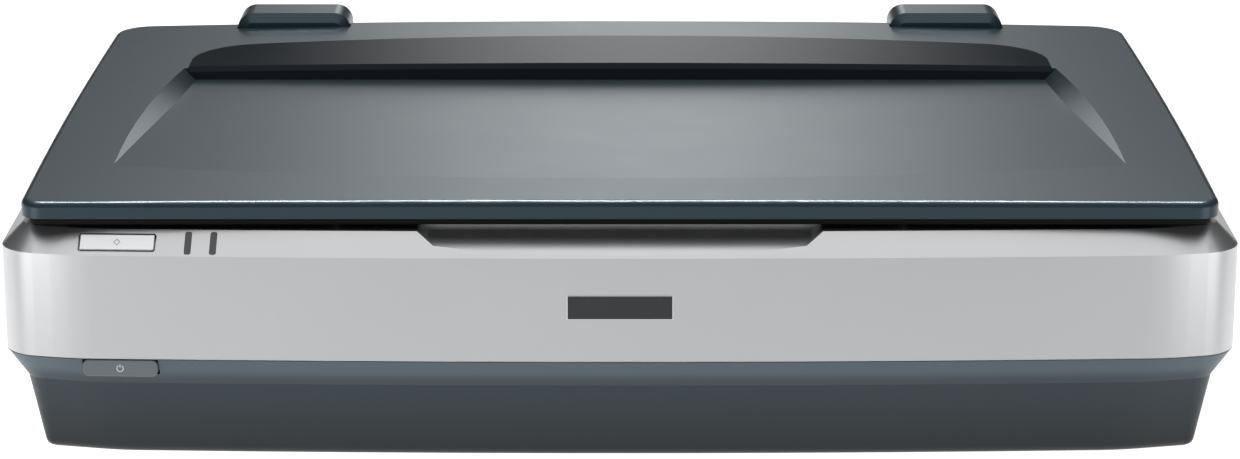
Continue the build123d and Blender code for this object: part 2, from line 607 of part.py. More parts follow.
with BuildPart() as power_inlet:
    # IEC C14: a 24 x 16.4 mm well, 15 deep, with three blades
    inlet_x, inlet_z = INLET
    mouth_y = 207.0
    block((inlet_x - 15.5, PANEL_REAR_Y, inlet_z - 11.5), (inlet_x + 15.5, mouth_y, inlet_z + 11.5))
    block((inlet_x - 13.5, mouth_y - 18, inlet_z - 9.8), (inlet_x + 13.5, mouth_y, inlet_z + 9.8))
    with BuildSketch(Plane.XZ.offset(-(mouth_y - 15.5))) as well:
        with Locations((inlet_x, inlet_z)):
            Rectangle(24, 16.4)
        chamfer(well.vertices().group_by(Axis.Z)[-1], 4)
    extrude(amount=-20, mode=Mode.SUBTRACT)
    for x, z in ((-7, -2), (0, 2), (7, -2)):
        block((inlet_x + x - 1, mouth_y - 16, inlet_z + z - 2),
              (inlet_x + x + 1, mouth_y - 3, inlet_z + z + 2))
keep(power_inlet, "power_inlet")

with BuildPart() as usb_port:
    socket(*USB, 12.0, 11.0, 0.8, 14, PANEL_REAR_Y + 0.6)
    block((USB[0] - 2.8, 195, USB[1] - 1.6), (USB[0] + 2.8, 204.5, USB[1] + 1.6))
    block((USB[0] - 6, 192, BOARD_TOP_Z), (USB[0] + 6, 197, USB[1]))
keep(usb_port, "usb_port")

with BuildPart() as firewire_ports:
    for x in FIREWIRE_X:
        socket(x, USB[1], 12.0, 6.8, 0.7, 13, PANEL_REAR_Y + 0.6)
        block((x - 3.6, 195, USB[1] - 0.8), (x + 3.6, 204.5, USB[1] + 0.8))
        block((x - 6, 193, BOARD_TOP_Z), (x + 6, 197.5, USB[1]))
keep(firewire_ports, "firewire_ports")

with BuildPart() as option_port:
    socket(OPTION_X, USB[1], 36.0, 10.0, 1.0, 13, PANEL_REAR_Y + 1.2)
    block((OPTION_X - 15.5, 195, USB[1] - 1.8), (OPTION_X + 15.5, 205, USB[1] + 1.8))
    block((OPTION_X - 17, 193.5, BOARD_TOP_Z), (OPTION_X + 17, 198, USB[1]))
keep(option_port, "option_port")

# ---- Flat cable from the main board to the carriage -----------------------------------------
CABLE_Z = 20.0
with BuildPart() as flat_cable:
    bend = (CARRIAGE_FLOOR_Z - CABLE_Z) / 2
    bend_x = -255.0
    thick = 0.3
    with BuildSketch(Plane.XZ.offset(16)):
        with BuildLine() as route:
            Polyline((-4, CABLE_Z + thick / 2), (bend_x, CABLE_Z + thick / 2))
            ThreePointArc((bend_x, CABLE_Z + thick / 2), (bend_x - bend + thick / 2, CABLE_Z + bend),
                          (bend_x, CARRIAGE_FLOOR_Z - thick / 2))
            Polyline((bend_x, CARRIAGE_FLOOR_Z - thick / 2), (-240, CARRIAGE_FLOOR_Z - thick / 2))
            offset(amount=thick / 2, side=Side.BOTH, closed=True)
        make_face()
    extrude(amount=24)
keep(flat_cable, "flat_cable")

# ---- Scan carriage --------------------------------------------------------------------------
left = CARRIAGE_X - CARRIAGE_HALF
right = CARRIAGE_X + CARRIAGE_HALF
BUSH_X = (30.0, 46.0)            # the two bush housings, either side of the carriage's centre
with BuildPart() as carriage_frame:
    block((left, CARRIAGE_FRONT_Y, CARRIAGE_FLOOR_Z), (right, CARRIAGE_REAR_Y, CARRIAGE_RIM_Z))
    block((left + 3, CARRIAGE_FRONT_Y + 3, CARRIAGE_FLOOR_Z + 3),
          (right - 3, CARRIAGE_REAR_Y - 3, CARRIAGE_RIM_Z + 1), Mode.SUBTRACT)
    for side in (-1, 1):
        low_x = CARRIAGE_X + min(side * BUSH_X[0], side * BUSH_X[1])
        block((low_x, ROD_Y - 10, 33), (low_x + 16, ROD_Y + 10, CARRIAGE_FLOOR_Z + 1))
        x_rod(low_x - 1, ROD_Y, ROD_Z, 7.03, 18, Mode.SUBTRACT)
    # cradle for the lens, with a half-round seat
    block((CARRIAGE_X - 14, -16, CARRIAGE_FLOOR_Z + 2), (CARRIAGE_X + 14, 16, 66))
    x_rod(CARRIAGE_X - 20, 0, LENS_Z, LENS_RADIUS + 0.02, 40, Mode.SUBTRACT)
    # flag for the home sensor, and the slot that the transport lock turns in
    block((left + 1, -70.6, 42), (left + 6, -69.4, CARRIAGE_FLOOR_Z + 1))
    block((left - 1, LOCK_Y - 3.5, LOCK_Z - 10), (left + 4, LOCK_Y + 3.5, LOCK_Z + 10), Mode.SUBTRACT)
    x_rod(left - 1, LOCK_Y, LOCK_Z, 4.5, 5, Mode.SUBTRACT)
keep(carriage_frame, "carriage_frame")

with BuildPart() as carriage_cover:
    block((left, CARRIAGE_FRONT_Y, CARRIAGE_RIM_Z), (right, CARRIAGE_REAR_Y, CARRIAGE_RIM_Z + 2.5))
    block((CARRIAGE_X - 26, -166, CARRIAGE_RIM_Z - 1),
          (CARRIAGE_X - 18, 150, CARRIAGE_RIM_Z + 4), Mode.SUBTRACT)
    fillet(carriage_cover.edges().filter_by(Axis.Z).group_by(Axis.X)[0], 3)
    fillet(carriage_cover.edges().filter_by(Axis.Z).group_by(Axis.X)[-1], 3)
keep(carriage_cover, "carriage_cover")

LAMP_X = CARRIAGE_X - 12
LAMP_Z = 118.2
with BuildPart() as lamp_tube:
    with Locations((LAMP_X, -168, LAMP_Z)):
        Cylinder(3.5, 320, rotation=(-90, 0, 0), align=STAND)
    with Locations((LAMP_X, -174, LAMP_Z), (LAMP_X, 152, LAMP_Z)):
        Cylinder(3.65, 6, rotation=(-90, 0, 0), align=STAND)
keep(lamp_tube, "lamp_tube")

with BuildPart() as lamp_reflector:
    # a trough along the lamp, open towards the slit
    with BuildSketch(Plane.XZ.offset(172)):
        with Locations((LAMP_X, LAMP_Z)):
            Circle(5.6)
            Circle(4.6, mode=Mode.SUBTRACT)
            with Locations((-5, 3)):
                Rectangle(8, 9, mode=Mode.SUBTRACT)
            with Locations((0, -5.7)):
                Rectangle(14, 4, mode=Mode.SUBTRACT)
    extrude(amount=-328)
    block((LAMP_X + 4.2, -172, CARRIAGE_RIM_Z + 2.5), (LAMP_X + 5.4, 156, LAMP_Z))
keep(lamp_reflector, "lamp_reflector")

with BuildPart() as scan_mirrors:
    # four long mirrors that fold the light path: place in X, height, tilt and width of each
    mirrors = ((-22, 68, -45, 16), (24, 84, 62, 14), (-26, 94, -62, 13), (30, 97, -30, 13))
    for rel_x, z, tilt, width in mirrors:
        with BuildSketch(Plane.XZ.offset(3 - CARRIAGE_REAR_Y)):
            with Locations((CARRIAGE_X + rel_x, z)):
                Rectangle(width, 2.2, rotation=tilt)
        extrude(amount=CARRIAGE_REAR_Y - CARRIAGE_FRONT_Y - 6)
keep(scan_mirrors, "scan_mirrors")

with BuildPart() as lens_barrel:
    x_rod(CARRIAGE_X - 13, 0, LENS_Z, LENS_RADIUS, 26)
    x_rod(CARRIAGE_X - 14, 0, LENS_Z, 8, 4, Mode.SUBTRACT)
    x_rod(CARRIAGE_X + 10, 0, LENS_Z, 7, 4, Mode.SUBTRACT)
    fillet(lens_barrel.edges().filter_by(GeomType.CIRCLE).group_by(Axis.X)[0], 0.6)
keep(lens_barrel, "lens_barrel")

with BuildPart() as sensor_board:
    board_x = CARRIAGE_X + 36.4
    block((board_x, -42, 56), (board_x + 1.6, 42, 84))
    block((board_x - 3.4, -27, LENS_Z - 5), (board_x, 27, LENS_Z + 5))
    for y in (-42, 34):
        block((board_x + 1.6, y, CARRIAGE_FLOOR_Z + 3), (board_x + 5.2, y + 8, 70))
keep(sensor_board, "sensor_board")

with BuildPart() as rod_bushes:
    for side in (-1, 1):
        low_x = CARRIAGE_X + min(side * BUSH_X[0], side * BUSH_X[1])
        x_rod(low_x, ROD_Y, ROD_Z, 7, 16)
        x_rod(low_x - 1, ROD_Y, ROD_Z, ROD_RADIUS + RUNNING, 18, Mode.SUBTRACT)
keep(rod_bushes, "rod_bushes")

with BuildPart() as rear_slider:
    block((CARRIAGE_X - 20, RAIL_Y - 6, RAIL_TOP_Z + 0.2), (CARRIAGE_X + 20, RAIL_Y + 6, CARRIAGE_FLOOR_Z))
    fillet(rear_slider.edges().filter_by(Axis.Y).group_by(Axis.Z)[0], 2)
keep(rear_slider, "rear_slider")

with BuildPart() as belt_clamp:
    front_run_y = BELT_Y - inner_radius - BELT_THICK / 2
    block((CARRIAGE_X - 9, front_run_y - 4.5, 38), (CARRIAGE_X + 9, front_run_y + 4.5, CARRIAGE_FLOOR_Z))
    block((CARRIAGE_X - 10, front_run_y - 0.9, 37), (CARRIAGE_X + 10, front_run_y + 0.9, 47.2), Mode.SUBTRACT)
keep(belt_clamp, "belt_clamp")

with BuildPart() as inverter_board:
    for y in (24, 130):
        x_rod(right, y, 78, 3, 3)
    block((right + 3, 18, 60), (right + 4.6, 136, 96))
    block((right + 4.6, 40, 68), (right + 12, 68, 88))
    block((right + 4.6, 84, 70), (right + 10, 104, 86))
    block((right + 4.6, 116, 66), (right + 9, 130, 90))
keep(inverter_board, "inverter_board")

# ---- Transport lock -------------------------------------------------------------------------
with BuildPart() as lock_knob:
    x_rod(-327.4, LOCK_Y, LOCK_Z, 11.5, 3.5)
    fillet(lock_knob.edges().filter_by(GeomType.CIRCLE).group_by(Axis.X)[0], 0.8)
    block((-328, LOCK_Y - 1, LOCK_Z - 8), (-325.6, LOCK_Y + 1, LOCK_Z + 8), Mode.SUBTRACT)
    x_rod(-324, LOCK_Y, LOCK_Z, 4, 48)
    block((-282, LOCK_Y - 3, LOCK_Z - 9), (-278, LOCK_Y + 3, LOCK_Z + 9))
keep(lock_knob, "lock_knob")


# ---- Cover ----------------------------------------------------------------------------------
def cover_outline(inset, z, front_corner=12.0, rear_corner=21.0):
    """The cover's plan outline at height z, drawn in by inset."""
    front, rear = COVER_FRONT_Y + inset, COVER_REAR_Y - inset
    half_front, half_middle, half_rear = (
        half - inset for half in (COVER_HALF_FRONT, COVER_HALF_MIDDLE, COVER_HALF_REAR))
    with BuildSketch(Plane.XY.offset(z)) as outline:
        with BuildLine():
            Line((-half_front, front), (half_front, front))
            ThreePointArc((half_front, front), (half_middle, 0), (half_rear, rear))
            Line((half_rear, rear), (-half_rear, rear))
            ThreePointArc((-half_rear, rear), (-half_middle, 0), (-half_front, front))
        make_face()
        fillet(outline.vertices().group_by(Axis.Y)[0], max(front_corner - inset, 3))
        fillet(outline.vertices().group_by(Axis.Y)[-1], max(rear_corner - inset, 3))
    return outline.sketch


def crown_block(drop):
    """Everything under the cover's crowned top, with that top lowered by drop."""
    with BuildPart() as shape:
        for y, side_z, middle_z in CROWN_SECTIONS:
            with BuildSketch(Plane.XZ.offset(-y)):
                with BuildLine():
                    ThreePointArc((-CROWN_HALF, side_z - drop), (0, middle_z - drop),
                                  (CROWN_HALF, side_z - drop))
                    Polyline((CROWN_HALF, side_z - drop), (CROWN_HALF, 120),
                             (-CROWN_HALF, 120), (-CROWN_HALF, side_z - drop))
                make_face()
        loft()
    return shape.part


def scoop_block(grow, drop):
    """The space above the cover's scooped middle, grown sideways and lowered."""
    sections = []
    for z in (138.0, 152.0):
        rear_x, middle_x, front_x = (half + grow + (z - SCOOP_FLOOR_REAR_Z) * spread
                                     for y, half, spread in SCOOP_SIDE)
        rear_y, middle_y, front_y = SCOOP_REAR_Y + grow, SCOOP_SIDE[1][0], SCOOP_SIDE[2][0]
        with BuildSketch(Plane.XY.offset(z)) as section:
            with BuildLine():
                for side in (-1, 1):
                    ThreePointArc((side * rear_x, rear_y), (side * middle_x, middle_y),
                                  (side * front_x, front_y))
                    Line((side * rear_x, rear_y), (0, rear_y))
                    Polyline((side * front_x, front_y), (side * (front_x + 8), -185), (0, -185))
            make_face()
        sections.append(section.sketch.face())
    floor_z = SCOOP_FLOOR_REAR_Z - drop
    with BuildPart() as shape:
        loft(sections=sections, ruled=True)
        with BuildSketch(Plane.YZ.offset(-400)):
            Polygon((110, floor_z - 14 * SCOOP_FLOOR_SLOPE), (110, 120), (-200, 120),
                    (-200, floor_z + (SCOOP_REAR_Y + 200) * SCOOP_FLOOR_SLOPE), align=None)
        extrude(amount=800, mode=Mode.SUBTRACT)
    return shape.part


def visor_outline(grow, z):
    """The visor's plan outline: straight front, rounded ends and a long rear arc."""
    end_x, end_y = VISOR_HALF, VISOR_END_Y
    shoulder_x, shoulder_y = VISOR_SHOULDER
    bend_x, bend_y = (end_x + shoulder_x) / 2 + 8.25, (end_y + shoulder_y) / 2 + 5.5
    with BuildSketch(Plane.XY.offset(z)) as outline:
        with BuildLine():
            Polyline((-end_x, end_y), (-end_x, SCOOP_REAR_Y), (end_x, SCOOP_REAR_Y), (end_x, end_y))
            ThreePointArc((end_x, end_y), (bend_x, bend_y), (shoulder_x, shoulder_y))
            ThreePointArc((shoulder_x, shoulder_y), (0, VISOR_REAR_Y), (-shoulder_x, shoulder_y))
            ThreePointArc((-shoulder_x, shoulder_y), (-bend_x, bend_y), (-end_x, end_y))
        make_face()
        if grow:
            offset(amount=grow)
    return outline.sketch


def visor_block(grow, low_z):
    """An upright block of the visor's outline, from low_z to above the crown."""
    with BuildPart() as shape:
        add(visor_outline(grow, low_z))
        extrude(amount=170 - low_z)
    return shape.part


RISER = 2.5                      # wall under the visor's front edge
BUMP_HALF = 35.3
BUMP_FRONT_Y = 196.0
with BuildPart() as cover_shell:
    add(cover_outline(0, COVER_SKIRT_Z))
    extrude(amount=30)
    add(crown_block(0), mode=Mode.INTERSECT)
    top = cover_shell.faces().sort_by(Axis.Z)[-1]
    fillet(top.edges(), 3.2)
    add(scoop_block(0, 0), mode=Mode.SUBTRACT)
    add(visor_block(0.2, 130) - crown_block(VISOR_THICK + 0.2), mode=Mode.SUBTRACT)
    block((-VISOR_HALF - 0.2, SCOOP_REAR_Y - 1, SCOOP_FLOOR_REAR_Z),
          (VISOR_HALF + 0.2, SCOOP_REAR_Y + RISER + 0.2, 170), Mode.SUBTRACT)
    with BuildPart(mode=Mode.PRIVATE) as hollow:
        add(cover_outline(COVER_WALL, 130))
        extrude(amount=30)
        add(crown_block(COVER_WALL), mode=Mode.INTERSECT)
        add(scoop_block(COVER_WALL, COVER_WALL), mode=Mode.SUBTRACT)
        add(visor_block(COVER_WALL, 130) - crown_block(VISOR_THICK + 0.2 + COVER_WALL), mode=Mode.SUBTRACT)
        block((-VISOR_HALF - 3, SCOOP_REAR_Y - 6, SCOOP_FLOOR_REAR_Z - COVER_WALL),
              (VISOR_HALF + 3, SCOOP_REAR_Y + RISER + COVER_WALL, 170), Mode.SUBTRACT)
    add(hollow.part, mode=Mode.SUBTRACT)
    for x, y in COVER_SCREWS:
        z_rod(x, y, PAN_TOP_Z, 4, 10.8)
    for x, y in COVER_SCREWS:
        z_rod(x, y, PAN_TOP_Z, 1.25, 8, Mode.SUBTRACT)
    for side in (-1, 1):
        block((side * HINGE_X - BUMP_HALF - 0.2, BUMP_FRONT_Y - 0.2, 130),
              (side * HINGE_X + BUMP_HALF + 0.2, 220, 170), Mode.SUBTRACT)
keep(cover_shell, "cover_shell")

with BuildPart() as rear_visor:
    add(visor_block(0, 130) - crown_block(VISOR_THICK))
    with BuildPart(mode=Mode.PRIVATE) as lip:
        block((-VISOR_HALF, SCOOP_REAR_Y, SCOOP_FLOOR_REAR_Z + 0.2),
              (VISOR_HALF, SCOOP_REAR_Y + RISER, 170))
    add(lip.part)
    add(crown_block(-0.2), mode=Mode.INTERSECT)
    front = rear_visor.faces().sort_by(Axis.Y)[0]
    chamfer(front.edges().sort_by(Axis.Z)[-1], *VISOR_BEVEL, reference=front)
keep(rear_visor, "rear_visor")

with BuildPart() as cover_pan:
    add(cover_outline(4, PAN_BOTTOM_Z))
    extrude(amount=PAN_TOP_Z - PAN_BOTTOM_Z)
    with BuildSketch(Plane.XY.offset(PAN_TOP_Z)):
        add(cover_outline(4, 0))
        add(cover_outline(6, 0), mode=Mode.SUBTRACT)
    extrude(amount=3)
    for side in (-1, 1):
        block((side * HINGE_X - 21, BUMP_FRONT_Y + 1, 130),
              (side * HINGE_X + 21, 220, 150), Mode.SUBTRACT)
    for x, y in COVER_SCREWS:
        z_rod(x, y, 130, 1.3, 10, Mode.SUBTRACT)
keep(cover_pan, "cover_pan")

MAT = (446.0, 320.0)
with BuildPart() as document_mat:
    with Locations((0, WINDOW_Y, 129.4)):
        Box(*MAT, 1.0, align=STAND)
    fillet(document_mat.edges().filter_by(Axis.Z), 4)
keep(document_mat, "document_mat")

with BuildPart() as foam_pad:
    with Locations((0, WINDOW_Y, 130.4)):
        Box(MAT[0] - 4, MAT[1] - 4, PAN_BOTTOM_Z - 130.4, align=STAND)
    fillet(foam_pad.edges().filter_by(Axis.Z), 3)
keep(foam_pad, "foam_pad")

with BuildPart() as cover_bumpers:
    for x in (-296, 296):
        for y in (-194, 170):
            z_rod(x, y, DECK_Z + 0.3, 6, PAN_BOTTOM_Z - DECK_Z - 0.3)
    fillet(cover_bumpers.edges().filter_by(GeomType.CIRCLE).group_by(Axis.Z)[0], 0.8)
keep(cover_bumpers, "cover_bumpers")

with BuildPart() as cover_screws:
    for x, y in COVER_SCREWS:
        z_rod(x, y, PAN_BOTTOM_Z - 1.2, 2.8, 1.2)
        z_rod(x, y, PAN_BOTTOM_Z, 1.2, 9)
    for x, y in COVER_SCREWS:
        block((x - 1.8, y - 0.35, 130), (x + 1.8, y + 0.35, PAN_BOTTOM_Z - 0.6), Mode.SUBTRACT)
        block((x - 0.35, y - 1.8, 130), (x + 0.35, y + 1.8, PAN_BOTTOM_Z - 0.6), Mode.SUBTRACT)
keep(cover_screws, "cover_screws")

# ---- Hinge covers, arms, pins, posts and sockets --------------------------------------------
with BuildPart() as hinge_covers:
    for side in (-1, 1):
        with BuildPart(mode=Mode.PRIVATE) as hood:
            block((side * HINGE_X - BUMP_HALF, BUMP_FRONT_Y, 142.5),
                  (side * HINGE_X + BUMP_HALF, CASE_DEPTH / 2, 158))
            fillet(hood.edges().filter_by(Axis.Y).group_by(Axis.Z)[-1], 10)
            chamfer(hood.faces().sort_by(Axis.Y)[0].edges().group_by(Axis.Z)[-1], 5.5, 3.5)
            fillet(hood.faces().sort_by(Axis.Y)[-1].edges().group_by(Axis.Z)[-1], 3)
            with BuildPart(mode=Mode.PRIVATE) as inside:
                block((side * HINGE_X - BUMP_HALF + 2, BUMP_FRONT_Y + 2, 140),
                      (side * HINGE_X + BUMP_HALF - 2, CASE_DEPTH / 2 - 2, 156))
                fillet(inside.edges().filter_by(Axis.Y).group_by(Axis.Z)[-1], 8)
                chamfer(inside.faces().sort_by(Axis.Y)[0].edges().group_by(Axis.Z)[-1], 5, 3)
            add(inside.part, mode=Mode.SUBTRACT)
        add(hood.part)
keep(hinge_covers, "hinge_covers")

EAR_INNER = 10.3
EAR_OUTER = 12.8
PLATE_REAR_Y = 195.0
with BuildPart() as hinge_arms:
    for side in (-1, 1):
        x = side * HINGE_X
        block((x - 16, 150, PAN_TOP_Z), (x + 16, PLATE_REAR_Y, PAN_TOP_Z + 2))
        for ear_x in (x - EAR_OUTER, x + EAR_INNER):
            with BuildSketch(Plane.YZ.offset(ear_x)):
                with BuildLine():
                    Polyline((PLATE_REAR_Y - 30, PAN_TOP_Z), (PLATE_REAR_Y, PAN_TOP_Z),
                             (HINGE_Y + 3, HINGE_Z - 5.5), (HINGE_Y, HINGE_Z + 6.4),
                             (HINGE_Y - 6, HINGE_Z + 2.2), (BUMP_FRONT_Y + 2, 141.7),
                             (PLATE_REAR_Y - 30, PAN_TOP_Z + 2), close=True)
                make_face()
                with Locations((HINGE_Y, HINGE_Z)):
                    Circle(6.5)
            extrude(amount=EAR_OUTER - EAR_INNER)
        x_rod(x - 16, HINGE_Y, HINGE_Z, HINGE_PIN_RADIUS + 0.02, 32, Mode.SUBTRACT)
keep(hinge_arms, "hinge_arms")

with BuildPart() as hinge_pins:
    for side in (-1, 1):
        x_rod(side * HINGE_X - 16, HINGE_Y, HINGE_Z, HINGE_PIN_RADIUS, 30)
        x_rod(side * HINGE_X - 17.5, HINGE_Y, HINGE_Z, HINGE_PIN_RADIUS + 1.5, 1.5)
    chamfer(hinge_pins.edges().filter_by(GeomType.CIRCLE).group_by(Axis.X)[-1], 0.5)
keep(hinge_pins, "hinge_pins")

for side, node in ((-1, "hinge_post_left"), (1, "hinge_post_right")):
    x = side * HINGE_X
    with BuildPart() as hinge_post:
        block((x - 15, POST_Y - 5, 74), (x + 15, POST_Y + 5, DECK_Z + 1))
        block((x - 18, POST_Y - 6, DECK_Z + 0.1), (x + 18, POST_Y + 6, DECK_Z + 2.1))
        with BuildSketch(Plane.YZ.offset(x - 10)):
            Polygon((POST_Y - 5, DECK_Z + 1), (POST_Y + 5, DECK_Z + 1), (HINGE_Y + 4, HINGE_Z - 5.5),
                    (HINGE_Y - 6, HINGE_Z + 2), align=None)
            with Locations((HINGE_Y, HINGE_Z)):
                Circle(7)
        extrude(amount=20)
        x_rod(x - 12, HINGE_Y, HINGE_Z, HINGE_PIN_RADIUS + RUNNING, 24, Mode.SUBTRACT)
        chamfer(hinge_post.faces().sort_by(Axis.Z)[0].edges(), 1.5)
    keep(hinge_post, node)

with BuildPart() as hinge_sockets:
    for side in (-1, 1):
        x = side * HINGE_X
        block((x - 17, POST_Y - 7, 70), (x + 17, POST_Y + 7, 128))
        block((x - 15.2, POST_Y - 5.2, 60), (x + 15.2, POST_Y + 5.2, 140), Mode.SUBTRACT)
keep(hinge_sockets, "hinge_sockets")
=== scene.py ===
import json
import math

import bpy
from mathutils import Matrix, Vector


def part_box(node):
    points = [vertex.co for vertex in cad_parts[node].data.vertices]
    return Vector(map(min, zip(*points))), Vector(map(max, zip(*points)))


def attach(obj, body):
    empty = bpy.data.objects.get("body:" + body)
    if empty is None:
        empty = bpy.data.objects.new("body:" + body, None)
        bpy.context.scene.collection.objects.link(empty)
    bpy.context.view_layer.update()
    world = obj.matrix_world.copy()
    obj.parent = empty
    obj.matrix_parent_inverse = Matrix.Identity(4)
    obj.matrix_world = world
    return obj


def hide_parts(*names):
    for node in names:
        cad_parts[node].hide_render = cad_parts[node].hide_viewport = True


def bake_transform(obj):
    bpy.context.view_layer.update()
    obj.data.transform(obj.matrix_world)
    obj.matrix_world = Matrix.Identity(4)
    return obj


# A large-format flatbed scanner: materials, fine detail, soft studio light and the camera,
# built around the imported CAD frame. Units are metres, in the CAD's own frame.

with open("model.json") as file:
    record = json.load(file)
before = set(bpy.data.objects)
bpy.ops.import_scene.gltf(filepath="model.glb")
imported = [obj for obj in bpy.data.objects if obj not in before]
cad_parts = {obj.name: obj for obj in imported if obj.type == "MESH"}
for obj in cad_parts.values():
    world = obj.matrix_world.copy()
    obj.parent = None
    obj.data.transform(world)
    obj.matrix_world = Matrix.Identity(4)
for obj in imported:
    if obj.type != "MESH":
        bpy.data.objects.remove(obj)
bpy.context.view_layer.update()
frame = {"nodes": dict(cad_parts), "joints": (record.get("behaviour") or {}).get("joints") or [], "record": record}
nodes = frame["nodes"]
MM = 0.001
scene = bpy.context.scene
scene.view_settings.view_transform = "Standard"
scene.view_settings.look = "None"

# ---- Camera ---------------------------------------------------------------------------------
CAMERA_DISTANCE_Y = -2.207
CAMERA_HEIGHT = 0.676
CAMERA_PITCH = 15.3              # degrees below level
LENS = 114.1                     # millimetres, for a sensor of SENSOR_WIDTH
SENSOR_WIDTH = 36


def make_camera():
    data = bpy.data.cameras.new("camera")
    data.lens = LENS
    data.sensor_width = SENSOR_WIDTH
    data.clip_end = 100
    camera = bpy.data.objects.new("camera", data)
    camera.location = (0, CAMERA_DISTANCE_Y, CAMERA_HEIGHT)
    camera.rotation_euler = (math.radians(90 - CAMERA_PITCH), 0, 0)
    scene.collection.objects.link(camera)
    scene.camera = camera


make_camera()


# ---- Shader helpers -------------------------------------------------------------------------
# Noise scales: broad for the flow of a moulding, gloss for its patches of shine, grain for its texture.
BROAD_SCALE = 9.0
GLOSS_SCALE = 25.0
GRAIN_SCALE = 900.0
GRAIN_STRENGTH = 0.35
GRAIN_DEPTH = 0.00002
GLOSS_SWING = 0.008
NOISE_MIDDLE = (0.3, 0.7)        # the part of a noise's range that holds nearly all of it

# The lower case's shades by height, in metres: up its wall from the feet, a painted shade that darkens it towards
# the floor, then across its flared band, which is made lighter.
TUB_WALL_Z = (0.004, 0.044)
TUB_WALL_PAINTED_SHADE = (0.02, 0.95)
TUB_BAND_Z = (0.048, 0.056)
TUB_BAND_SHADE = (0.0, 1.3)
TUB_ROUGHNESS = 0.42


class Shader:
    """A small builder for one material's node tree."""

    def __init__(self, name):
        self.material = bpy.data.materials.new(name)
        self.material.use_nodes = True
        self.nodes = self.material.node_tree.nodes
        self.links = self.material.node_tree.links
        self.surface = self.nodes["Principled BSDF"]
        self.place = self.nodes.new("ShaderNodeTexCoord").outputs["Object"]

    def link(self, source, target):
        self.links.new(source, target)

    def noise(self, scale, detail=3.0, roughness=0.5):
        node = self.nodes.new("ShaderNodeTexNoise")
        node.inputs["Scale"].default_value = scale
        node.inputs["Detail"].default_value = detail
        node.inputs["Roughness"].default_value = roughness
        self.link(self.place, node.inputs["Vector"])
        return node.outputs["Fac"]

    def remap(self, source, low, high, to_low, to_high, smooth=False):
        node = self.nodes.new("ShaderNodeMapRange")
        if smooth:
            node.interpolation_type = "SMOOTHSTEP"
        for key, value in (("From Min", low), ("From Max", high), ("To Min", to_low), ("To Max", to_high)):
            node.inputs[key].default_value = value
        self.link(source, node.inputs["Value"])
        return node.outputs["Result"]

    def math(self, operation, a, b=None):
        node = self.nodes.new("ShaderNodeMath")
        node.operation = operation
        for socket, value in zip(node.inputs, (a, b)):
            if value is None:
                continue
            if isinstance(value, (int, float)):
                socket.default_value = value
            else:
                self.link(value, socket)
        return node.outputs["Value"]

    def axis(self, name):
        node = self.nodes.new("ShaderNodeSeparateXYZ")
        self.link(self.place, node.inputs["Vector"])
        return node.outputs[name]

    def mix(self, factor, first, second):
        node = self.nodes.new("ShaderNodeMix")
        node.data_type = "RGBA"
        if isinstance(factor, (int, float)):
            node.inputs["Factor"].default_value = factor
        else:
            self.link(factor, node.inputs["Factor"])
        for key, value in (("A", first), ("B", second)):
            socket = [s for s in node.inputs if s.name == key and s.type == "RGBA"][0]
            if isinstance(value, tuple):
                socket.default_value = (*value[:3], 1)
            else:
                self.link(value, socket)
        return [s for s in node.outputs if s.type == "RGBA"][0]

    def scaled(self, colour, amount):
        node = self.nodes.new("ShaderNodeVectorMath")
        node.operation = "SCALE"
        self.link(colour, node.inputs["Vector"])
        self.link(amount, node.inputs["Scale"])
        return node.outputs["Vector"]

    def set(self, **values):
        for key, value in values.items():
            socket = self.surface.inputs[key.replace("_", " ")]
            if isinstance(value, (int, float)):
                socket.default_value = value
            elif isinstance(value, tuple):
                socket.default_value = (*value[:3], 1)
            else:
                self.link(value, socket)

    def bump(self, height, strength, distance):
        node = self.nodes.new("ShaderNodeBump")
        node.inputs["Strength"].default_value = strength
        node.inputs["Distance"].default_value = distance
        self.link(height, node.inputs["Height"])
        self.link(node.outputs["Normal"], self.surface.inputs["Normal"])


def shade(colour, amount):
    return tuple(min(1.0, c * amount) for c in colour)


def moulded(name, colour, roughness, grain=GRAIN_SCALE, grain_depth=GRAIN_DEPTH, vary=0.06, metallic=0.0,
            specular=0.5, sheen_tint=None):
    """Moulded plastic: a fine grain in the tool, faint flow mottling and uneven gloss."""
    s = Shader(name)
    broad = s.noise(BROAD_SCALE, 2.0)
    fine = s.noise(grain, 2.0)
    gloss = s.noise(GLOSS_SCALE, 3.0)
    s.set(Base_Color=s.mix(broad, shade(colour, 1 - vary), shade(colour, 1 + vary)))
    s.set(Roughness=s.remap(gloss, *NOISE_MIDDLE, roughness - GLOSS_SWING, roughness + GLOSS_SWING))
    s.surface.inputs["Metallic"].default_value = metallic
    s.surface.inputs["Specular IOR Level"].default_value = specular
    if sheen_tint:
        s.set(Specular_Tint=sheen_tint)
    s.bump(fine, GRAIN_STRENGTH, grain_depth)
    return s.material


def tub_plastic():
    """The dark lower case: its flared band is made lighter, and a painted shade darkens its wall towards the feet.
    """
    s = Shader("dark_plastic")
    height = s.axis("Z")
    # painted shade: the wall's colour fades almost to black towards the feet, where shade falls near the floor
    painted_foot_shade = s.remap(height, *TUB_WALL_Z, *TUB_WALL_PAINTED_SHADE)
    band_shade = s.remap(height, *TUB_BAND_Z, *TUB_BAND_SHADE, smooth=True)
    base = s.mix(s.noise(BROAD_SCALE, 2.0), (0.034, 0.048, 0.060), (0.036, 0.050, 0.063))
    gloss = s.noise(GLOSS_SCALE, 3.0)
    s.set(Base_Color=s.scaled(base, s.math("ADD", painted_foot_shade, band_shade)))
    s.set(Roughness=s.remap(gloss, *NOISE_MIDDLE, TUB_ROUGHNESS - GLOSS_SWING, TUB_ROUGHNESS + GLOSS_SWING))
    s.set(Specular_Tint=(0.86, 0.95, 1.0))
    s.bump(s.noise(GRAIN_SCALE, 2.0), GRAIN_STRENGTH, GRAIN_DEPTH)
    return s.material


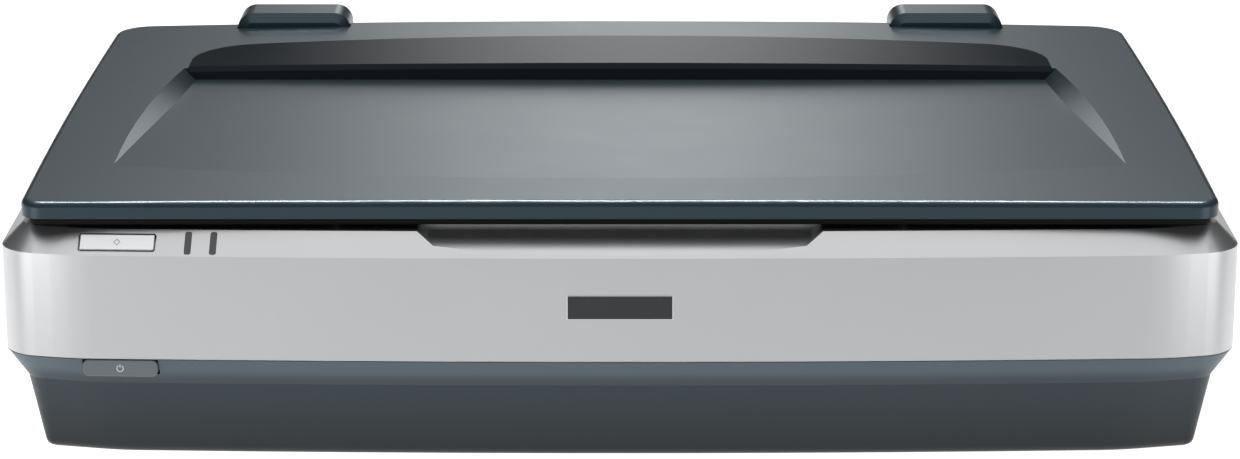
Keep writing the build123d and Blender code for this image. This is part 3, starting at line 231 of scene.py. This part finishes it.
def metal(name, colour, roughness, brushed_axis="X", vary=0.08):
    """Sheet or ground metal, with fine lines along one axis."""
    s = Shader(name)
    mapping = s.nodes.new("ShaderNodeMapping")
    along, across = 20, 900
    scale = [along if axis == brushed_axis else across for axis in "XYZ"]
    mapping.inputs["Scale"].default_value = scale
    s.link(s.place, mapping.inputs["Vector"])
    lines = s.nodes.new("ShaderNodeTexNoise")
    lines.inputs["Scale"].default_value = 1.0
    lines.inputs["Detail"].default_value = 3.0
    s.link(mapping.outputs["Vector"], lines.inputs["Vector"])
    s.set(Base_Color=s.mix(s.noise(30.0, 3.0), shade(colour, 1 - vary), shade(colour, 1 + vary)))
    s.surface.inputs["Metallic"].default_value = 1.0
    s.set(Roughness=s.remap(lines.outputs["Fac"], *NOISE_MIDDLE, roughness - 0.05, roughness + 0.08))
    s.bump(lines.outputs["Fac"], 0.15, GRAIN_DEPTH)
    return s.material


def board_laminate():
    """Green solder mask over a grid of copper tracks."""
    s = Shader("circuit_board")
    tracks = s.nodes.new("ShaderNodeTexBrick")
    for key, value in (("Scale", 60.0), ("Mortar Size", 0.035), ("Mortar Smooth", 0.1)):
        tracks.inputs[key].default_value = value
    s.link(s.place, tracks.inputs["Vector"])
    mask = s.mix(s.noise(40.0), (0.016, 0.11, 0.05), (0.022, 0.14, 0.065))
    s.set(Base_Color=s.mix(tracks.outputs["Fac"], mask, (0.05, 0.22, 0.09)), Roughness=0.32)
    s.bump(tracks.outputs["Fac"], 0.3, 0.00003)
    return s.material


def ribbon_film():
    """A flat cable: tinned conductors that show as stripes through clear film."""
    s = Shader("ribbon_film")
    stripe = s.math("FRACT", s.math("MULTIPLY", s.axis("Y"), 1 / (RIBBON_PITCH * MM)))
    stripe = s.remap(s.math("ABSOLUTE", s.math("SUBTRACT", stripe, 0.5)), 0.22, 0.28, 1.0, 0.0)
    s.set(Base_Color=s.mix(stripe, (0.80, 0.81, 0.82), (0.42, 0.43, 0.44)), Roughness=0.3)
    s.bump(stripe, 0.3, 0.00004)
    return s.material


# ---- Materials ------------------------------------------------------------------------------
RIBBON_PITCH = 1.25
BLACK = (0.012, 0.012, 0.013)
material = {
    "dark_plastic": tub_plastic(),
    "silver_plastic": moulded("silver_plastic", (0.60, 0.605, 0.615), 0.36, grain=1500.0, vary=0.008,
                              metallic=0.85),
    "cover_blue_grey": moulded("cover_blue_grey", (0.033, 0.053, 0.069), 0.31, grain_depth=0.000004,
                               vary=0.02, sheen_tint=(0.66, 0.88, 1.0)),
    "visor_gloss": moulded("visor_gloss", (0.028, 0.035, 0.043), 0.11, grain=300.0,
                           grain_depth=0.000002, vary=0.1, specular=0.02),
    "black_plastic": moulded("black_plastic", BLACK, 0.7, specular=0.12),
    "white_plastic": moulded("white_plastic", (0.78, 0.78, 0.75), 0.35),
    "white_mat": moulded("white_mat", (0.82, 0.82, 0.81), 0.6, grain=400.0),
    "grey_print": moulded("grey_print", (0.42, 0.43, 0.44), 0.4),
    "grey_foam": moulded("grey_foam", (0.16, 0.16, 0.17), 0.95, grain=700.0, grain_depth=0.0004),
    "black_rubber": moulded("black_rubber", (0.016, 0.016, 0.016), 0.75, grain=500.0, grain_depth=0.00008),
    "zinc_steel": metal("zinc_steel", (0.55, 0.56, 0.58), 0.32),
    "sheet_steel": metal("sheet_steel", (0.50, 0.51, 0.52), 0.38),
    "bright_steel": metal("bright_steel", (0.75, 0.75, 0.76), 0.14),
    "nickel_shell": metal("nickel_shell", (0.66, 0.65, 0.62), 0.25),
    "motor_black": moulded("motor_black", (0.02, 0.02, 0.022), 0.4),
    "circuit_board": board_laminate(),
    "ribbon_film": ribbon_film(),
    "smoked_plastic": moulded("smoked_plastic", (0.075, 0.078, 0.082), 0.2),
    "badge_gloss": moulded("badge_gloss", (0.020, 0.026, 0.032), 0.22, vary=0.1),
    "button_silver": moulded("button_silver", (0.84, 0.85, 0.86), 0.30, grain=1500.0, vary=0.02,
                             metallic=0.6),
    "button_grey": moulded("button_grey", (0.20, 0.23, 0.25), 0.34),
    "bronze_bush": metal("bronze_bush", (0.60, 0.42, 0.22), 0.4),
    "brass_gear": metal("brass_gear", (0.75, 0.58, 0.28), 0.3),
    "lamp_glass": moulded("lamp_glass", (0.85, 0.85, 0.83), 0.2),
    "mirror_foil": metal("mirror_foil", (0.85, 0.86, 0.87), 0.12),
    "front_mirror": metal("front_mirror", (0.88, 0.9, 0.91), 0.04),
}


def clear_glass():
    """Clear float glass, barely uneven in its gloss."""
    s = Shader("clear_glass")
    s.set(Base_Color=(0.93, 0.97, 0.955))
    s.set(Roughness=s.remap(s.noise(12.0, 2.0), *NOISE_MIDDLE, 0.0, 0.02))
    s.surface.inputs["Transmission Weight"].default_value = 1.0
    s.surface.inputs["IOR"].default_value = 1.5
    return s.material


material["clear_glass"] = clear_glass()

for row in frame["record"]["subparts"]:
    mesh = nodes[row["node"]].data
    mesh.materials.clear()
    mesh.materials.append(material[row["material_slot"]])

# ---- Mesh helpers, in millimetres -----------------------------------------------------------
def box_mesh(low, high):
    """A box as (vertices, faces)."""
    vertices = [(x, y, z) for z in (low[2], high[2]) for y in (low[1], high[1]) for x in (low[0], high[0])]
    faces = [(0, 2, 3, 1), (4, 5, 7, 6), (0, 1, 5, 4), (2, 6, 7, 3), (0, 4, 6, 2), (1, 3, 7, 5)]
    return vertices, faces


def lathe_mesh(profile, centre, axis="Z", sides=32):
    """A closed turned shape from (radius, height) pairs that start and end on the axis."""
    rings = profile[1:-1]
    vertices = [(0, 0, profile[0][1])]
    for radius, height in rings:
        for n in range(sides):
            angle = 2 * math.pi * n / sides
            vertices.append((radius * math.cos(angle), radius * math.sin(angle), height))
    vertices.append((0, 0, profile[-1][1]))
    last = len(vertices) - 1
    faces = []
    for n in range(sides):
        m = (n + 1) % sides
        faces.append((0, 1 + m, 1 + n))
        for ring in range(len(rings) - 1):
            low, high = 1 + ring * sides, 1 + (ring + 1) * sides
            faces.append((low + n, low + m, high + m, high + n))
        faces.append((last - sides + n, last - sides + m, last))
    turned = {"X": lambda v: (v[2], v[0], v[1]), "Z": lambda v: v}[axis]
    vertices = [tuple(a + b for a, b in zip(turned(v), centre)) for v in vertices]
    return vertices, faces


def band_mesh(outer, inner, low_z, high_z):
    """A closed upright band between two outlines with the same number of points."""
    count = len(outer)
    vertices = [(x, y, z) for loop, z in ((outer, low_z), (outer, high_z), (inner, low_z), (inner, high_z))
                for x, y in loop]
    faces = []
    for n in range(count):
        m = (n + 1) % count
        outer_low, outer_high, inner_low, inner_high = (k * count for k in range(4))
        faces.append((outer_low + n, outer_low + m, outer_high + m, outer_high + n))
        faces.append((inner_low + m, inner_low + n, inner_high + n, inner_high + m))
        faces.append((outer_high + n, outer_high + m, inner_high + m, inner_high + n))
        faces.append((outer_low + m, outer_low + n, inner_low + n, inner_low + m))
    return vertices, faces


def wire_mesh(points, radius, sides=10):
    """A round wire through the points."""
    vertices, faces = [], []
    for n, point in enumerate(points):
        ahead = Vector(points[min(n + 1, len(points) - 1)]) - Vector(points[max(n - 1, 0)])
        ahead.normalize()
        side = ahead.orthogonal() if n == 0 else side - side.project(ahead)
        side.normalize()
        up = ahead.cross(side)
        for k in range(sides):
            angle = 2 * math.pi * k / sides
            vertices.append(tuple(Vector(point) + radius * (math.cos(angle) * side + math.sin(angle) * up)))
    for n in range(len(points) - 1):
        for k in range(sides):
            m = (k + 1) % sides
            faces.append((n * sides + k, n * sides + m, (n + 1) * sides + m, (n + 1) * sides + k))
    faces.append(tuple(reversed(range(sides))))
    faces.append(tuple(range((len(points) - 1) * sides, len(points) * sides)))
    return vertices, faces


def joined(*shapes):
    """Several (vertices, faces) shapes as one."""
    vertices, faces = [], []
    for more_vertices, more_faces in shapes:
        faces += [tuple(len(vertices) + index for index in face) for face in more_faces]
        vertices += more_vertices
    return vertices, faces


def add_piece(name, slot, shape, body=None, smooth=False):
    """A new mesh with the finish of one of the record's slots, moving with a CAD body."""
    vertices, faces = shape
    mesh = bpy.data.meshes.new(name)
    mesh.from_pydata([Vector(v) * MM for v in vertices], [], faces)
    mesh.materials.append(material[slot])
    if smooth:
        mesh.shade_smooth()
    piece = bpy.data.objects.new(name, mesh)
    scene.collection.objects.link(piece)
    if body:
        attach(piece, body)
    return piece


def box_of(node):
    """A CAD node's box, in millimetres."""
    low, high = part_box(node)
    return low / MM, high / MM


# ---- Foam under the cover: a soft-edged pad in place of the plain block ----------------------
def make_foam():
    low, high = box_of("foam_pad")
    rise, steps, edge = high.z - low.z, 4, 2.5
    loops = []
    for n in range(2 * steps + 1):
        turn = math.pi * n / (2 * steps)
        inset = edge * (1 - math.sin(turn))
        loops.append((inset, low.z + rise * (1 - math.cos(turn)) / 2))
    vertices, faces = [], []
    for inset, z in loops:
        vertices += [(low.x + inset, low.y + inset, z), (high.x - inset, low.y + inset, z),
                     (high.x - inset, high.y - inset, z), (low.x + inset, high.y - inset, z)]
    for n in range(len(loops) - 1):
        for k in range(4):
            m = (k + 1) % 4
            faces.append((4 * n + k, 4 * n + m, 4 * n + 4 + m, 4 * n + 4 + k))
    top = 4 * (len(loops) - 1)
    faces += [(3, 2, 1, 0), (top, top + 1, top + 2, top + 3)]
    foam = add_piece("cover_foam", "grey_foam", (vertices, faces), "cover")
    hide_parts("foam_pad")


# ---- Drive details: toothed belt and coiled spring in place of their plain stand-ins ---------
BELT_Y = -112.0
IDLER_X, DRIVE_X = -270.0, 262.0
BELT_INNER, BELT_OUTER = 8.05, 9.25
TOOTH_PITCH = 2.032
TOOTH_DEPTH = 0.6


def belt_point(distance, radius):
    """A point on the belt's loop, radius away from the pulleys' centres."""
    run = DRIVE_X - IDLER_X
    arc = math.pi * BELT_OUTER
    distance %= 2 * (run + arc)
    if distance < run:
        return IDLER_X + distance, BELT_Y - radius
    if distance < run + arc:
        angle = (distance - run) / BELT_OUTER - math.pi / 2
        return DRIVE_X + radius * math.cos(angle), BELT_Y + radius * math.sin(angle)
    if distance < 2 * run + arc:
        return DRIVE_X - (distance - run - arc), BELT_Y + radius
    angle = (distance - 2 * run - arc) / BELT_OUTER + math.pi / 2
    return IDLER_X + radius * math.cos(angle), BELT_Y + radius * math.sin(angle)


def make_belt():
    low, high = box_of("drive_belt")
    length = 2 * (DRIVE_X - IDLER_X + math.pi * BELT_OUTER)
    teeth = round(length / TOOTH_PITCH)
    outer, inner = [], []
    for tooth in range(teeth):
        for share, depth in ((0.0, 0.0), (0.12, TOOTH_DEPTH), (0.5, TOOTH_DEPTH), (0.62, 0.0)):
            distance = (tooth + share) * length / teeth
            outer.append(belt_point(distance, BELT_OUTER))
            inner.append(belt_point(distance, BELT_INNER + TOOTH_DEPTH - depth))
    belt = add_piece("belt_with_teeth", "black_rubber", band_mesh(outer, inner, low.z, high.z), "case")
    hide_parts("drive_belt")


def make_spring():
    low, high = box_of("belt_spring")
    middle_y, middle_z = (low.y + high.y) / 2, (low.z + high.z) / 2
    wire, coil, turns, steps, tail, lead = 0.4, 2.5, 12, 16, 3.0, 0.6
    start, end = low.x + tail, high.x - tail
    points = [(low.x + wire, middle_y, middle_z), (start - lead, middle_y, middle_z)]
    for n in range(turns * steps + 1):
        angle = 2 * math.pi * n / steps
        x = start + (end - start) * n / (turns * steps)
        points.append((x, middle_y + coil * math.sin(angle), middle_z + coil * math.cos(angle)))
    points += [(end + lead, middle_y, middle_z), (high.x - wire, middle_y, middle_z)]
    spring = add_piece("tension_spring", "bright_steel", wire_mesh(points, wire), "case", smooth=True)
    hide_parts("belt_spring")


# ---- Flat cable: a striped ribbon that bends between the case and the carriage ---------------
def make_ribbon():
    low, high = box_of("flat_cable")
    thick = 0.3
    low_z, high_z = low.z + thick / 2, high.z - thick / 2
    bend_x, clamp_x, radius = -255.0, -240.0, (high_z - low_z) / 2
    spacing, straight_points, bend_steps = 18, 14, 24
    route = [(high.x - spacing * n, low_z) for n in range(straight_points)]
    route = [(x, z) for x, z in route if x > bend_x + 2]
    for n in range(bend_steps + 1):
        angle = -math.pi / 2 - math.pi * n / bend_steps
        route.append((bend_x + radius * math.cos(angle), low_z + radius + radius * math.sin(angle)))
    route.append((clamp_x, high_z))
    vertices, faces = [], []
    for n, (x, z) in enumerate(route):
        before, after = route[max(n - 1, 0)], route[min(n + 1, len(route) - 1)]
        run = Vector((after[0] - before[0], after[1] - before[1])).normalized()
        across = Vector((-run.y, run.x)) * thick / 2
        for side in (1, -1):
            for y in (low.y, high.y):
                vertices.append((x + side * across.x, y, z + side * across.y))
    ring = (0, 1, 3, 2)
    for n in range(len(route) - 1):
        for k in range(4):
            a, b = ring[k], ring[(k + 1) % 4]
            faces.append((4 * n + a, 4 * n + b, 4 * n + 4 + b, 4 * n + 4 + a))
    end = 4 * (len(route) - 1)
    faces += [(0, 2, 3, 1), (end, end + 1, end + 3, end + 2)]
    ribbon = add_piece("ribbon_cable", "ribbon_film", (vertices, faces))
    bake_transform(ribbon)
    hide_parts("flat_cable")


# ---- Marks on the buttons, ruler ticks and the badge's rim -----------------------------------
def button_face(node, joint):
    """The centre of a button's pressed face, with its across, up and outward directions."""
    press = [j for j in frame["joints"] if j["name"] == joint][0]["axis"]
    out = -Vector(press).normalized()
    across = Vector((0, 0, 1)).cross(out).normalized()
    reach = max(v.co.dot(out) for v in nodes[node].data.vertices)
    skin = 0.05 * MM
    face = [v.co for v in nodes[node].data.vertices if v.co.dot(out) > reach - skin]
    centre = sum(face, Vector()) / len(face) / MM
    return centre, across, out.cross(across), out


def stroke_mesh(face, points, width, thick=0.04, sunk=0.05):
    """A raised line through points given across and up the button's face."""
    centre, across, up, out = face
    vertices, faces = [], []
    for n, point in enumerate(points):
        run = (Vector(points[min(n + 1, len(points) - 1)]) - Vector(points[max(n - 1, 0)])).normalized()
        edge = Vector((-run.y, run.x)) * width / 2
        for side in (1, -1):
            place = Vector(point) + side * edge
            foot = centre + across * place.x + up * place.y
            vertices += [tuple(foot - out * sunk), tuple(foot + out * thick)]
    for n in range(len(points) - 1):
        a, b = 4 * n, 4 * n + 4
        faces += [(a + 1, b + 1, b + 3, a + 3), (a, b, b + 1, a + 1), (a + 2, a + 3, b + 3, b + 2),
                  (a, a + 2, b + 2, b)]
    end = 4 * (len(points) - 1)
    faces += [(0, 1, 3, 2), (end, end + 2, end + 3, end + 1)]
    return vertices, faces


def make_marks():
    """A diamond on the start button, and an open ring with a bar on the power button."""
    size, stroke = 1.7, 0.4
    face = button_face("start_button", "start_button_press")
    diamond = [(0, size), (size, 0), (0, -size), (-size, 0), (0, size)]
    add_piece("start_mark", "button_grey", stroke_mesh(face, diamond, stroke), "start_button")
    face = button_face("power_button", "power_button_press")
    first_angle, sweep, steps = 60, 300, 20
    turn = [math.radians(first_angle - sweep * n / steps) for n in range(steps + 1)]
    ring = stroke_mesh(face, [(size * math.cos(angle), size * math.sin(angle)) for angle in turn], stroke)
    bar = stroke_mesh(face, [(0, 0.4), (0, 2.3)], stroke)
    add_piece("power_mark", "button_silver", joined(ring, bar), "power_button")


def make_ruler_ticks():
    """Ticks every 10 mm, longer every 50, along both ruler strips."""
    low, high = box_of("ruler_strips")
    strip, start, spacing, half_width, margin = 7.6, 1.2, 10, 0.15, 1
    short, long, long_every, count = 3.0, 5.0, 5, 46
    bottom, top = high.z - 0.05, high.z + 0.02
    inner_x, inner_y = low.x + strip, low.y + strip
    ticks = []
    for n in range(count):
        reach = long if n % long_every == 0 else short
        x = inner_x + start + spacing * n
        if x < high.x - margin:
            ticks.append(box_mesh((x - half_width, inner_y - reach, bottom), (x + half_width, inner_y, top)))
        y = inner_y + start + spacing * n
        if y < high.y - margin:
            ticks.append(box_mesh((inner_x - reach, y - half_width, bottom), (inner_x, y + half_width, top)))
    add_piece("ruler_ticks", "black_plastic", joined(*ticks), "case")


def make_badge_rim():
    """A pale rim round the blank badge, just behind its face."""
    low, high = box_of("badge_plate")
    rim, gap, glow_behind_painted_shadow, depth = 0.25, 0.3, 0.04, 0.6
    front, back = low.y + glow_behind_painted_shadow, low.y + depth
    left, right = low.x - gap, high.x + gap
    bottom, top = low.z - gap / 2, high.z + gap / 2
    width = rim + gap
    bars = [((left, bottom), (right, bottom + width)), ((left, top - width), (right, top)),
            ((left, bottom + width), (left + width, top - width)),
            ((right - width, bottom + width), (right, top - width))]
    shapes = [box_mesh((x0, front, z0), (x1, back, z1)) for (x0, z0), (x1, z1) in bars]
    add_piece("badge_rim", "button_silver", joined(*shapes), "case")


# ---- Inside: lens, sensor window, board parts, sockets' contacts ----------------------------
LENS_SEAT = 2.4                  # how far the lens elements sit inside the barrel's ends
LENS_ELEMENTS = ((7.9, -1.6), (6.9, 1.6))
SENSOR_HALF_LENGTH = 24
SENSOR_Z = (64.5, 71.5)


def lens_profile(radius, bulge):
    """A domed lens's outline, from its crown out to the rim and back to the axis behind it."""
    turns = [math.radians(15 * n) for n in range(7)]
    dome = [(radius * math.sin(turn), bulge * math.cos(turn)) for turn in turns]
    profile = dome + [(radius, -bulge / 2), (0, -bulge / 2)]
    return profile[::-1] if bulge > 0 else profile


def make_optics():
    """The lens elements in the barrel's two ends, and the window over the sensor."""
    barrel_low, barrel_high = box_of("lens_barrel")
    middle_y, middle_z = (barrel_low.y + barrel_high.y) / 2, (barrel_low.z + barrel_high.z) / 2
    shapes = []
    for x, (radius, bulge) in zip((barrel_low.x + LENS_SEAT, barrel_high.x - LENS_SEAT), LENS_ELEMENTS):
        shapes.append(lathe_mesh(lens_profile(radius, bulge), (x, middle_y, middle_z), axis="X"))
    add_piece("lens_elements", "clear_glass", joined(*shapes), "carriage", smooth=True)
    low, high = box_of("sensor_board")
    front, back = low.x - 0.15, low.x + 0.6
    window = box_mesh((front, -SENSOR_HALF_LENGTH, SENSOR_Z[0]), (back, SENSOR_HALF_LENGTH, SENSOR_Z[1]))
    add_piece("sensor_window", "front_mirror", window, "carriage")


BOARD_TOP = 15.6
PIN_PITCH = 1.6
PIN_REACH = 1.6
SKIN = 0.12                      # how far a skin stands off the block that it covers
# The boards' chips as (low corner, high corner, rise), and their cans as (x, y, radius, rise).
CHIPS = (((-12, -42), (8, -14), 4.0), ((20, 20), (54, 54), 2.4), ((-30, 60), (-6, 84), 2.0))
CANS = tuple((-40 + 14 * n, 120, 4.0, 9.0) for n in range(5)) + ((222, 100, 9.0, 13.0), (244, 78, 6.0, 12.0))


def sleeve(low, high, rise):
    """A thin skin over one of the boards' blocks."""
    top = BOARD_TOP + rise + SKIN
    return box_mesh((low[0] - SKIN, low[1] - SKIN, BOARD_TOP), (high[0] + SKIN, high[1] + SKIN, top))


def make_board_parts():
    """Chips with their legs, cans with their tops, plugs, a heat sink and a transformer."""
    memory = [((20 + 16 * n, 76), (31 + 16 * n, 94), 1.2) for n in range(4)]
    chips = [sleeve(*chip) for chip in (*CHIPS, *memory)]
    legs = []
    for (x0, y0), (x1, y1), rise in CHIPS:
        count = int((y1 - y0) / PIN_PITCH)
        for n in range(count):
            y = y0 + (n + 0.7) * (y1 - y0) / count
            low, high = (x0 - PIN_REACH, y - 0.3, BOARD_TOP), (x1 + PIN_REACH, y + 0.3, BOARD_TOP + 0.25)
            legs.append(box_mesh(low, high))
    add_piece("chips", "motor_black", joined(*chips), "case")
    add_piece("chip_legs", "nickel_shell", joined(*legs), "case")
    cans, tops = [], []
    for x, y, radius, rise in CANS:
        outer, foot = radius + SKIN, (x, y, BOARD_TOP)
        cans.append(lathe_mesh([(0, 0), (outer, 0), (outer, rise - 0.4), (0, rise - 0.4)], foot))
        top_outline = [(0, rise - 1), (radius, rise - 1), (radius, rise - 0.2), (radius - 0.6, rise + 0.15),
                       (0, rise + 0.15)]
        tops.append(lathe_mesh(top_outline, foot))
    add_piece("can_sleeves", "motor_black", joined(*cans), "case")
    add_piece("can_tops", "nickel_shell", joined(*tops), "case")
    plugs = [sleeve((70, -30), (112, -20), 7.0), sleeve((168, 140), (190, 156), 10.0)]
    add_piece("board_plugs", "white_plastic", joined(*plugs), "case")
    add_piece("heat_sink", "sheet_steel", sleeve((205, 130), (208, 165), 12.0), "case")
    add_piece("transformer", "brass_gear", sleeve((160, 90), (192, 122), 12.0), "case")


INLET_X, INLET_Z = 205, 28
INLET_BLADES = ((-7, -2), (0, 2), (7, -2))
USB_X = 60
FIREWIRE_X = (18, 38)
OPTION_X = -14
SOCKET_Z = 24
BLADE_Y = (191.5, 204)
TONGUE_Y = (195, 204.5)
OPTION_TONGUE_Y = (195, 205)


def contact(x, z, half_width, half_height, y_range, over=0.06):
    """A blade or a tongue, a little larger than the one that it covers."""
    start, end = y_range
    return box_mesh((x - half_width - over, start, z - half_height - over),
                    (x + half_width + over, end + over, z + half_height + over))


def make_contacts():
    """Bright blades in the mains inlet and pale tongues in the data sockets."""
    blades = [contact(INLET_X + x, INLET_Z + z, 1, 2, BLADE_Y) for x, z in INLET_BLADES]
    add_piece("inlet_blades", "bright_steel", joined(*blades), "case")
    tongues = [contact(USB_X, SOCKET_Z, 2.8, 1.6, TONGUE_Y)]
    tongues += [contact(x, SOCKET_Z, 3.6, 0.8, TONGUE_Y) for x in FIREWIRE_X]
    tongues.append(contact(OPTION_X, SOCKET_Z, 15.5, 1.8, OPTION_TONGUE_Y))
    add_piece("socket_tongues", "white_plastic", joined(*tongues), "case")


make_foam()
make_belt()
make_spring()
make_ribbon()
make_marks()
make_ruler_ticks()
make_badge_rim()
make_optics()
make_board_parts()
make_contacts()

# ---- Light, floor and background ------------------------------------------------------------
FILL_LIGHT = 0.055               # the dome near the horizon
TOP_LIGHT = 0.10                 # and overhead
FRONT_LIGHT = 0.05               # what it gains towards the front
BACK_CARD = 2.05                 # the narrow card low behind the object
HIGH_CARD = 0.9                  # the wider card above it
FLOOR_GLOW = 0.72
# painted shadow: the floor glows less in front of the object, a shade that the lower case mirrors
BACK_GLOW = 0.45                 # what the floor gains from the object's front backwards
FLOOR_HALF = 12.0

# The cards' edges in the world's directions: where each fades out sideways, comes in and goes out upwards.
CARD_CENTRE = 0.006
LOW_CARD_SIDE, LOW_CARD_FOOT, LOW_CARD_HEAD = (0.0, 0.112), (0.03, 0.10), (0.21, 0.50)
HIGH_CARD_SIDE, HIGH_CARD_FOOT, HIGH_CARD_HEAD = (0.10, 0.24), (0.25, 0.31), (0.5, 0.8)


def make_world():
    """A dim dome, with a narrow bright card low behind the object and a wider one above it."""
    world = bpy.data.worlds.new("studio")
    world.use_nodes = True
    scene.world = world
    tree = world.node_tree
    place = tree.nodes.new("ShaderNodeTexCoord").outputs["Generated"]
    split = tree.nodes.new("ShaderNodeSeparateXYZ")
    tree.links.new(place, split.inputs["Vector"])

    def value(operation, *sources):
        node = tree.nodes.new("ShaderNodeMath")
        node.operation = operation
        for socket, source in zip(node.inputs, sources):
            if isinstance(source, (int, float)):
                socket.default_value = source
            else:
                tree.links.new(source, socket)
        return node.outputs["Value"]

    def ramp(source, low, high, to_low, to_high):
        node = tree.nodes.new("ShaderNodeMapRange")
        node.interpolation_type = "SMOOTHSTEP"
        for key, number in (("From Min", low), ("From Max", high), ("To Min", to_low), ("To Max", to_high)):
            node.inputs[key].default_value = number
        tree.links.new(source, node.inputs["Value"])
        return node.outputs["Result"]

    x, y, z = (split.outputs[k] for k in "XYZ")
    back = ramp(y, -0.1, 0.2, 0.0, 1.0)
    off_centre = value("ABSOLUTE", value("SUBTRACT", x, CARD_CENTRE))

    def card_light(strength, side, foot, head):
        upright = value("MULTIPLY", ramp(z, *foot, 0.0, 1.0), ramp(z, *head, 1.0, 0.0))
        return value("MULTIPLY", ramp(off_centre, *side, strength, 0.0), upright)

    low_card = card_light(BACK_CARD, LOW_CARD_SIDE, LOW_CARD_FOOT, LOW_CARD_HEAD)
    high_card = card_light(HIGH_CARD, HIGH_CARD_SIDE, HIGH_CARD_FOOT, HIGH_CARD_HEAD)
    card = value("MULTIPLY", back, value("ADD", low_card, high_card))
    dome = value("ADD", ramp(z, 0.2, 0.9, FILL_LIGHT, TOP_LIGHT), ramp(y, -0.9, 0.0, FRONT_LIGHT, 0.0))
    total = value("ADD", dome, card)
    background = tree.nodes["Background"]
    tree.links.new(total, background.inputs["Strength"])
    background.inputs["Color"].default_value = (0.97, 0.985, 1.0, 1)


def make_card(name, place, target, size, power, lights_matt=True, only=()):
    """A soft rectangular light that faces its target, unseen by the camera; only names what it lights."""
    data = bpy.data.lights.new(name, "AREA")
    data.shape = "RECTANGLE"
    data.size, data.size_y = size
    data.energy = power
    card = bpy.data.objects.new(name, data)
    card.location = place
    card.rotation_euler = (Vector(target) - Vector(place)).to_track_quat("-Z", "Y").to_euler()
    card.visible_camera = False
    card.visible_diffuse = lights_matt
    scene.collection.objects.link(card)
    if only:
        lit = bpy.data.collections.new(name + "_lights")
        for node in only:
            lit.objects.link(nodes[node])
        card.light_linking.receiver_collection = lit


def make_floor():
    """A pale floor that glows like a light table, so that it stays white round the object; its glow is painted
    uneven, with a painted shadow in front of the object, painted light to the left and painted shade out to the
    sides.
    """
    size = FLOOR_HALF
    mesh = bpy.data.meshes.new("floor")
    corners = [(-size, -size, 0), (size, -size, 0), (size, size, 0), (-size, size, 0)]
    mesh.from_pydata(corners, [], [(0, 1, 2, 3)])
    floor = bpy.data.objects.new("floor", mesh)
    scene.collection.objects.link(floor)
    paper = Shader("floor_paper")
    paper.set(Base_Color=(0.55, 0.55, 0.55), Roughness=0.9, Emission_Color=(1, 1, 1))
    paper.surface.inputs["Specular IOR Level"].default_value = 0.1
    across, along = paper.axis("X"), paper.axis("Y")
    # painted shadow: less glow in front of the object than under and behind it
    glow_behind_painted_shadow = paper.remap(along, -0.30, -0.15, 0.0, BACK_GLOW, smooth=True)
    # painted light: the floor glows brighter to the left and dimmer to the right
    painted_left_light = paper.remap(across, -0.4, 0.4, 0.08, -0.06)
    # painted shade: the floor glows less out to the sides, towards the front
    painted_side_shade = paper.remap(paper.math("ABSOLUTE", across), 0.75, 1.1, 0.0, -0.35, smooth=True)
    painted_side_shade = paper.math("MULTIPLY", painted_side_shade, paper.remap(along, 0.0, 1.5, 1.0, 0.0))
    glow = paper.math("ADD", paper.math("ADD", glow_behind_painted_shadow, painted_side_shade), paper.math("ADD", painted_left_light, FLOOR_GLOW))
    paper.set(Emission_Strength=glow)
    floor.data.materials.append(paper.material)


make_world()
make_card("top_softbox", (0, -0.40, 1.6), (0, -0.25, 0), (2.5, 1.3), 12.6)
make_card("top_strip", (0, 0.38, 1.6), (0, -0.2, 0.14), (1.5, 0.22), 90.0, lights_matt=False,
          only=["cover_shell", "hinge_covers"])
make_card("left_card", (-0.62, -0.52, 0.065), (-0.30, -0.20, 0.09), (0.30, 0.12), 0.31, lights_matt=False)
make_card("right_card", (0.62, -0.52, 0.065), (0.30, -0.20, 0.09), (0.30, 0.12), 0.31, lights_matt=False)
make_floor()
